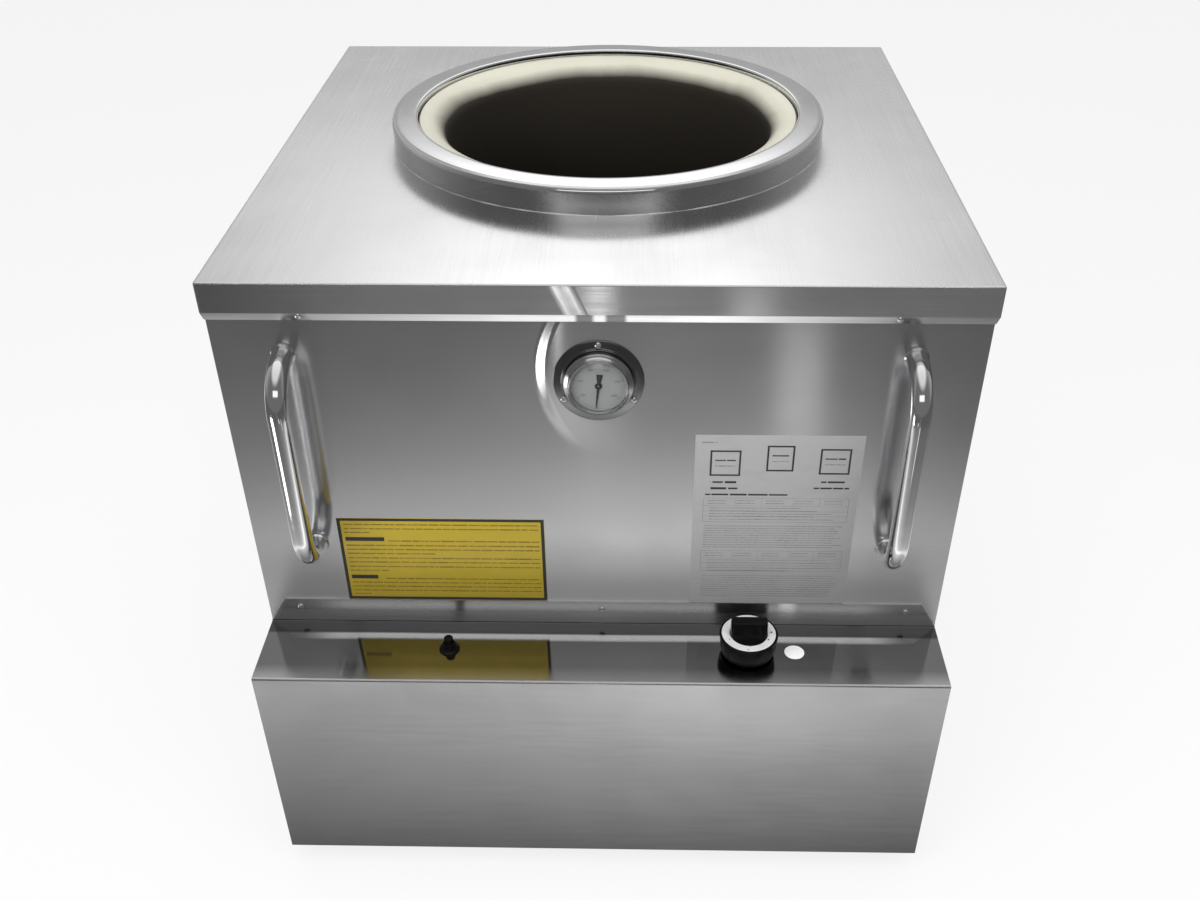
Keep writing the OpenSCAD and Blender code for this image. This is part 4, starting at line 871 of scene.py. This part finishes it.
def make_knob():
    """Round knob with a tapered skirt, a seat for its ring, and a grip bar with rounded edges."""
    knob = Shape(standing("knob_body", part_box("knob_body")[0].z))
    skirt = [(3.05, 10.3), (9, 10.3), (9, 16.5), (30.5, 16.5), (30.5, 0), (32.4, 0), (32.9, 0.5), (33.3, 3),
             (34.2, 8), (35.0, 9.2), (36.2, 23.6), (36.4, 25.2)]
    skirt += arc(34.7, 25.7, 1.8, 15, 80, 5)
    skirt += [(33.62, 27.3), (33.6, 26.5), (23.6, 26.5), (23.6, 27.5), (3.05, 27.5)]
    turn = circle(96)
    rings = []
    for radius, height in skirt:
        flute = 0.35 if 3 < height < 24 and radius > 33.9 else 0
        spread = [(radius - flute * (0.5 + 0.5 * math.cos(12 * a)), a) for a in turn]
        rings.append([(r * math.cos(a) * MM, r * math.sin(a) * MM, height * MM) for r, a in spread])
    knob.loft(rings)
    grip = [(27.4, 12.9, 23.4), (27.9, 12.5, 23.2), (29.0, 12.2, 23.1), (44.0, 8.4, 22.9), (46.6, 7.7, 22.7),
            (47.7, 7.2, 22.3), (48.3, 6.3, 21.4), (48.5, 5.0, 20.0)]
    bars = [[bar_point(a, depth, reach, height) for a in turn] for height, depth, reach in grip]
    knob.loft(bars, cap_last=True)
    knob.make("gas_knob", "black_plastic", "knob_body", body="knob", sharp=32)


def bar_point(angle, depth, reach, height):
    """Point on the outline of a bar with round ends, soft at its corners."""
    power = 16
    across = (1 / reach) ** power + (abs(math.sin(angle)) / depth) ** power
    radius = across ** (-1 / power)
    return (radius * math.cos(angle) * MM, radius * math.sin(angle) * MM, height * MM)


def make_knob_ring():
    """Metal ring let into the knob, with its plain marks."""
    place = standing("knob_dial_ring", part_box("knob_dial_ring")[0].z)
    ring = Shape(place)
    ring.revolve([(23.7, 0), (33.5, 0), (33.5, 0.8), (33.2, 1.15), (24.0, 1.15), (23.7, 0.8)])
    ring.kind = 1
    marks = [(3, 28.1, 1.5), (-27, 26.5, 1.2), (-95, 30.6, 0.9), (-90, 25.0, 0.7), (206, 27.1, 0.8),
             (-2, 32.2, 0.6), (172, 32.2, 0.6)]
    for degrees, reach, size in marks:
        at = Vector(polar(reach, math.radians(degrees), 1.18)) * MM
        ring.place = place @ Matrix.Translation(at)
        ring.add([polar(size * MM, a) for a in circle(12)], [tuple(range(12))])
    finishes = ["dial_ring", "print_ink"]
    ring.make("knob_ring_marked", finishes, "knob_dial_ring", "polished_steel", "knob", sharp=30)


def make_spring():
    """Return spring below the knob's collar: turns of wire."""
    low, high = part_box("knob_spring")
    centre = middle(low, high)
    wire, turns, steps = 0.7 * MM, 2.5, 100
    radius = (high.x - low.x) / 2 - wire
    rings = []
    for k in range(steps + 1):
        angle = 2 * math.pi * turns * k / steps
        out = Vector(polar(1, angle))
        height = low.z + wire + (high.z - low.z - 2 * wire) * k / steps
        at = Vector((centre.x, centre.y, height)) + radius * out
        rings.append([at + wire * (math.cos(a) * out + math.sin(a) * Vector((0, 0, 1))) for a in circle(10)])
    coil = Shape().loft(rings, cap_first=True, cap_last=True)
    piece = coil.make("return_spring", "zinc_steel", "knob_spring")
    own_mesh(piece)


def make_igniter():
    """Igniter's domed foot with its barrel, and the button in it."""
    place = standing("igniter_button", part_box("round_label")[0].z)
    dome = [math.radians(a) for a in range(85, 5, -10)]
    line = [(5.8, -22), (5.8, 10.6), (6.2, 11), (7.2, 11), (7.8, 10.5)]
    line += [(13 - 5.2 * math.sin(a), 1.6 + 8.6 * (1 - math.cos(a))) for a in dome]
    line += [(12.9, 1.4), (13.0, 0.6), (12.9, 0), (9, 0), (9, -38), (5.8, -38)]
    foot = Shape(place).revolve(line, 72)
    foot.make("igniter_foot", "black_plastic", "igniter_body", sharp=35)
    line = [(0, -10), (5.7, -10), (5.7, 16.5)] + arc(4.0, 17.9, 1.7, 0, 70, 6)
    line += [(2.6, 19.7), (2.0, 19.2), (0, 19.1)]
    button = Shape(place).revolve(line, 48, closed=False)
    button.make("igniter_push", "black_plastic", "igniter_button", body="igniter", sharp=35)


# ---- plates

class Sheet:
    """Printed plate on the front panel, measured from its lower left corner in millimetres."""

    def __init__(self, node, inks):
        self.node = node
        self.inks = inks
        low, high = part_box(node)
        self.width = (high.x - low.x) / MM
        self.height = (high.z - low.z) / MM
        self.shape = Shape(facing(0, (low.x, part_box("front_panel")[0].y, low.z)))
        soft = 0.2
        steps = ((0, 0), (0, PLATE_THICKNESS - soft / 2), (soft, PLATE_THICKNESS))
        rings = [self.edge(inset, z) for inset, z in steps]
        self.shape.loft(rings, cap_last=True)

    def edge(self, inset, z):
        """Outline of the plate, drawn in by an inset."""
        left, right, top = inset * MM, self.width * MM - inset * MM, self.height * MM - inset * MM
        return at_level([(left, left), (right, left), (right, top), (left, top)], z * MM)

    def bar(self, ink, left, low, right, high):
        """Printed bar; ink is the place of its finish in the plate's list."""
        self.shape.kind = ink
        self.shape.strip(left * MM, low * MM, right * MM, high * MM, PRINT_LEVEL * MM)

    def frame(self, ink, left, low, right, high, line):
        self.bar(ink, left, low, right, low + line)
        self.bar(ink, left, high - line, right, high)
        self.bar(ink, left, low + line, left + line, high - line)
        self.bar(ink, right - line, low + line, right, high - line)

    def dashes(self, ink, left, right, middle_y, size, dice):
        """Row of short bars in place of a line of print."""
        at = left
        while at < right:
            long = dice.uniform(2, 9) * size
            end = min(right, at + long)
            rise = dice.uniform(0.35, 0.5) * size
            self.bar(ink, at, middle_y - rise, end, middle_y + rise)
            at = end + dice.uniform(0.5, 0.8) * size

    def finish(self, name, slot):
        self.shape.make(name, self.inks, self.node, slot, sharp=30)


def make_notice_plate():
    """Yellow plate with a black border and plain rules in place of print."""
    plate = Sheet("notice_plate", ["yellow_plate", "print_ink", "olive_ink"])
    dice = random.Random(11)
    plate.frame(1, 0.3, 0.3, plate.width - 0.3, plate.height - 0.3, 4)
    left, right = 8, plate.width - 7
    rows = [(0.075, 0, 1), (0.125, 0, 1), (0.17, 0, 0.13), (0.27, 0.22, 1), (0.325, 0, 1), (0.375, 0, 1),
            (0.425, 0, 0.46), (0.48, 0, 1), (0.53, 0, 1), (0.585, 0, 1), (0.635, 0, 0.2), (0.735, 0.18, 1),
            (0.785, 0, 1), (0.835, 0, 1), (0.885, 0, 1), (0.93, 0, 0.09)]
    span = right - left
    for down, start, end in rows:
        level = plate.height * (1 - down)
        plate.dashes(2, left + span * start, left + span * end, level, 2.1, dice)
    for down, end in ((0.25, 0.2), (0.715, 0.14)):
        level = plate.height * (1 - down)
        plate.bar(1, left, level - 3, left + span * end, level + 3)
    plate.finish("notice_plate_print", "yellow_plate")


def make_data_plate():
    """White plate with plain boxes, tables and rules in place of print."""
    plate = Sheet("data_plate", ["white_plate", "print_ink", "grey_ink"])
    dice = random.Random(23)
    w, h = plate.width, plate.height
    plate.dashes(2, 8, 26, h - 10, 1.6, dice)
    for left, right, low in ((18, 54, 196), (84, 116, 203), (146, 182, 199)):
        plate.frame(1, left, low, right, low + 36, 2.2)
        plate.dashes(1, left + 6, right - 6, low + 22, 2.2, dice)
        plate.dashes(2, left + 6, right - 6, low + 14, 1.6, dice)
    for left, right, level, size in ((22, 50, 187, 3.2), (20, 52, 178, 3.2), (14, 112, 169, 2.6),
                                     (150, 178, 188, 2.6), (142, 184, 179, 2.4)):
        plate.dashes(1, left, right, level, size, dice)
    for top, bottom in ((164, 128), (84, 52)):
        table(plate, dice, 12, w - 10, bottom, top)
    for low, high in ((89, 122), (8, 44)):
        level = high
        while level > low:
            plate.dashes(2, 14, w - 12 - dice.uniform(0, 12), level, 1.3, dice)
            level -= 3.6
    plate.finish("data_plate_print", "white_plate")


def table(plate, dice, left, right, low, high):
    """Ruled table with a heading row of five cells."""
    plate.frame(2, left, low, right, high, 0.5)
    head = high - 12
    for level in (head, head - 8, head - 15):
        plate.bar(2, left, level, right, level + 0.4)
    for share in (0.22, 0.4, 0.62, 0.8):
        across = left + (right - left) * share
        plate.bar(2, across, head, across + 0.4, high)
    for row in range(2):
        for cell in range(5):
            start = left + (right - left) * (0.03 + 0.2 * cell)
            plate.dashes(2, start, start + 22, high - 4 - 4 * row, 1.2, dice)
    for row in range(5):
        plate.dashes(2, left + 8, right - 10 - dice.uniform(0, 60), head - 3 - 4.2 * row, 1.2, dice)


def make_round_label():
    """Bare round label on the shelf."""
    low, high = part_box("round_label")
    radius = (high.x - low.x) / 2 / MM - 1.1
    line = [(0, 0), (radius, 0), (radius, 0.25), (radius - 0.3, 0.37), (0, 0.38)]
    label = Shape(standing("round_label", low.z)).revolve(line, 64, closed=False)
    label.make("shelf_label", "label_white", "round_label", "white_plate", sharp=40)


# ---- camera, lights, floor

def place_camera():
    """Puts the camera where the photograph was taken from."""
    yaw, pitch, roll = CAMERA_YAW, CAMERA_PITCH, CAMERA_ROLL
    forward = Vector((math.sin(yaw) * math.cos(pitch), math.cos(yaw) * math.cos(pitch), -math.sin(pitch)))
    level = Vector((math.cos(yaw), -math.sin(yaw), 0))
    upright = level.cross(forward)
    right = math.cos(roll) * level + math.sin(roll) * upright
    up = -math.sin(roll) * level + math.cos(roll) * upright
    data = bpy.data.cameras.new("camera")
    data.lens = LENS
    data.sensor_width = 36
    data.shift_x = SHIFT_X
    data.shift_y = SHIFT_Y
    data.clip_end = 60
    camera = add_object("camera", data)
    turn = Matrix((right, up, -forward)).transposed().to_4x4()
    camera.matrix_world = Matrix.Translation(CAMERA_AT) @ turn
    bpy.context.scene.camera = camera


def lamp(name, at, target, size, radiance, glossy=True, spread=180):
    """Area light aimed at a point; radiance is its brightness in a mirror, at the widest spread."""
    data = bpy.data.lights.new(name, "AREA")
    data.shape = "RECTANGLE"
    data.size, data.size_y = size
    data.energy = radiance * math.pi * size[0] * size[1]
    data.spread = math.radians(spread)
    light = add_object(name, data)
    light.location = at
    light.rotation_euler = (Vector(target) - Vector(at)).to_track_quat("-Z", "Y").to_euler()
    light.visible_camera = False
    light.visible_glossy = glossy


def surround():
    """World: white for the camera; in reflections a dim wall in front and a lit window behind."""
    world = bpy.data.worlds.new("studio")
    bpy.context.scene.world = world
    world.use_nodes = True
    room = Graph(world.node_tree)
    room.nodes.clear()
    direction = room.node("TexCoord").outputs["Generated"]
    x, y, z = room.node("SeparateXYZ", {0: direction}).outputs
    wall = room.ramp(y, 0.17, 0.43, -0.35, 0.5)
    aside = room.maths("ABSOLUTE", room.total(x, 0.03))
    window = room.times(room.ramp(aside, 1.15, 0, 0.08, 0.31), room.ramp(z, 0, 1, 0.28, 0.44))
    lowered = room.times(window, room.ramp(z, 1, 0, 0.62, 0.8))
    behind = room.times(lowered, room.ramp(y, 0, 1, 0.1, 0.5))
    above = room.ramp(z, 0, 0.65, 0.7, 0.92)
    glow = room.total(wall, room.total(behind, above))
    mirrored = room.node("Background", {"Color": glow}).outputs[0]
    seen = room.node("Background", {"Color": (1, 1, 1, 1)}).outputs[0]
    camera = room.node("LightPath").outputs["Is Camera Ray"]
    both = room.node("MixShader", {0: camera, 1: mirrored, 2: seen}).outputs[0]
    room.node("OutputWorld", {"Surface": both})


def light_studio():
    """Soft boxes above, a small window at the side, and two narrow strips near the floor."""
    surround()
    lamp("key", (-1.6, -2.2, 2.6), (0, 0, 0.5), (1.6, 1.6), 4.5, False)
    lamp("fill", (1.8, -2.0, 2.0), (0, 0, 0.5), (1.4, 1.4), 3.0, False)
    lamp("overhead", (0, -0.7, 3.0), (0, -0.3, 0.8), (2.2, 1.6), 3.6, False)
    lamp("front_box", (0, -2.6, 2.2), (0, -0.45, 0.4), (2.4, 0.6), 1.1)
    lamp("side_window", (-1.05, -0.98, 0.2), (-0.05, -0.39, 0.74), (0.4, 0.4), 0.33, spread=45)
    lamp("right_strip", (0.375, -1.4, 0.12), (0.22, -0.39, 0.3), (0.09, 0.24), 0.8)
    lamp("front_strip", (-0.038, -1.4, 0.3), (0, -0.2, 0.5), (0.035, 0.17), 2.5)
    bpy.context.scene.view_settings.view_transform = "Standard"


def lay_floor():
    """Plain pale floor, white to the camera and softly graded in the steel's reflections."""
    floor_finish()
    mesh = bpy.data.meshes.new("floor")
    signs = [(-1, -1), (1, -1), (1, 1), (-1, 1)]
    mesh.from_pydata([(x * FLOOR_HALF, y * FLOOR_HALF, 0) for x, y in signs], [], [(0, 1, 2, 3)])
    mesh.materials.append(MATERIALS["floor"])
    add_object("floor", mesh)


def floor_finish():
    """Diffuse paper with a white glow for the camera and, for reflections, a graded glow with painted shade
    close to the oven.
    """
    paper = Finish("floor", grey(0.9), 0.9)
    past = paper.vector("SUBTRACT", paper.vector("ABSOLUTE", paper.where), FOOTPRINT)
    away = paper.vector("LENGTH", paper.vector("MAXIMUM", past))
    # Painted light and shade in the grade: darkest close to the oven, brightest in a band further out, dimmer
    # far off and towards both sides.
    grade = paper.node("ValToRGB", {"Fac": paper.times(away, 0.5)})
    stops = [(0.0, 0.16), (0.05, 0.36), (0.13, 0.64), (0.18, 0.8), (0.215, 1.4), (0.24, 1.4), (0.3, 0.7),
             (0.38, 0.39), (0.46, 0.26), (0.62, 0.19), (1.0, 0.17)]
    band = grade.color_ramp
    band.interpolation = "LINEAR"
    for place, _ in stops[1:-1]:
        band.elements.new(place)
    for element, (place, value) in zip(band.elements, stops):
        element.position = place
        element.color = (value, value, value, 1)
    right = paper.remap(paper.axis("X"), 1, 0.66, 0.25, 0.7)
    left = paper.remap(paper.axis("X"), 0.7, 1, -0.6, 0.1)
    colour = grade.outputs["Color"]
    dim = paper.node("Emission", {"Color": colour, "Strength": paper.times(right, left)}).outputs[0]
    glow = paper.node("Emission", {"Color": (1, 1, 1, 1), "Strength": 0.97}).outputs[0]
    white = paper.node("MixShader", {0: 0.85, 1: paper.surface.outputs[0], 2: glow}).outputs[0]
    camera = paper.node("LightPath").outputs["Is Camera Ray"]
    paper.show(paper.node("MixShader", {0: camera, 1: dim, 2: white}).outputs[0])


# ---- the oven

CAD_FINISHES = {
    "casing_front": ["front_panel"],
    "casing_rear": ["rear_panel"],
    "casing_side": ["side_panel_left", "side_panel_right"],
    "box_steel": ["control_box_ends", "control_box_cover"],
    "cover_steel": ["top_cover"],
    "polished_steel": ["mouth_ring", "handle_left", "handle_right", "gauge_flange", "gauge_case"],
    "dial_ring": ["knob_dial_ring"],
    "fired_clay": ["clay_pot"],
    "firebrick": ["hearth_slab"],
    "ceramic_wool": ["insulation_fill", "neck_seal"],
    "frame_steel": ["corner_posts", "base_rails", "floor_pan", "burner_tunnel"],
    "zinc_steel": ["feet", "handle_bolts", "knob_spring", "gauge_stem", "air_shutter", "valve_nut"],
    "screw_steel": ["cover_screws", "upstand_screws", "rear_panel_screws", "gauge_screws"],
    "black_rubber": ["foot_pads"],
    "dial_face": ["gauge_dial"],
    "needle_black": ["gauge_needle"],
    "clear_glass": ["gauge_glass"],
    "yellow_plate": ["notice_plate"],
    "white_plate": ["data_plate", "round_label"],
    "black_plastic": ["knob_body", "igniter_body", "igniter_button"],
    "brass": ["valve_stem", "stem_collar", "gas_valve", "inlet_fitting", "feed_elbows", "gas_injector",
              "pilot_burner"],
    "lead_silicone": ["igniter_lead"],
    "electrode_ceramic": ["spark_electrode"],
    "soft_tube": ["pilot_tube", "feed_pipes"],
    "copper": ["thermocouple"],
    "gas_iron": ["supply_pipes", "supply_elbow", "gas_regulator"],
    "burner_iron": ["mixing_tube", "burner_body", "burner_cap", "flame_spreader"],
}


def dress_cad():
    """Gives every CAD node its finish, also the nodes that a made piece replaces."""
    for material, names in CAD_FINISHES.items():
        for name in names:
            slots = NODES[name].data.materials
            slots.clear()
            slots.append(MATERIALS[material])


make_materials()
dress_cad()
make_cover()
make_mouth_ring()
make_ring_weld()
make_clay_pot()
make_control_box()
make_handle("handle_left")
make_handle("handle_right")
make_all_screws()
make_gauge_case()
make_dial()
make_needle()
make_glass()
make_knob()
make_knob_ring()
make_spring()
make_igniter()
make_notice_plate()
make_data_plate()
make_round_label()
place_camera()
light_studio()
lay_floor()
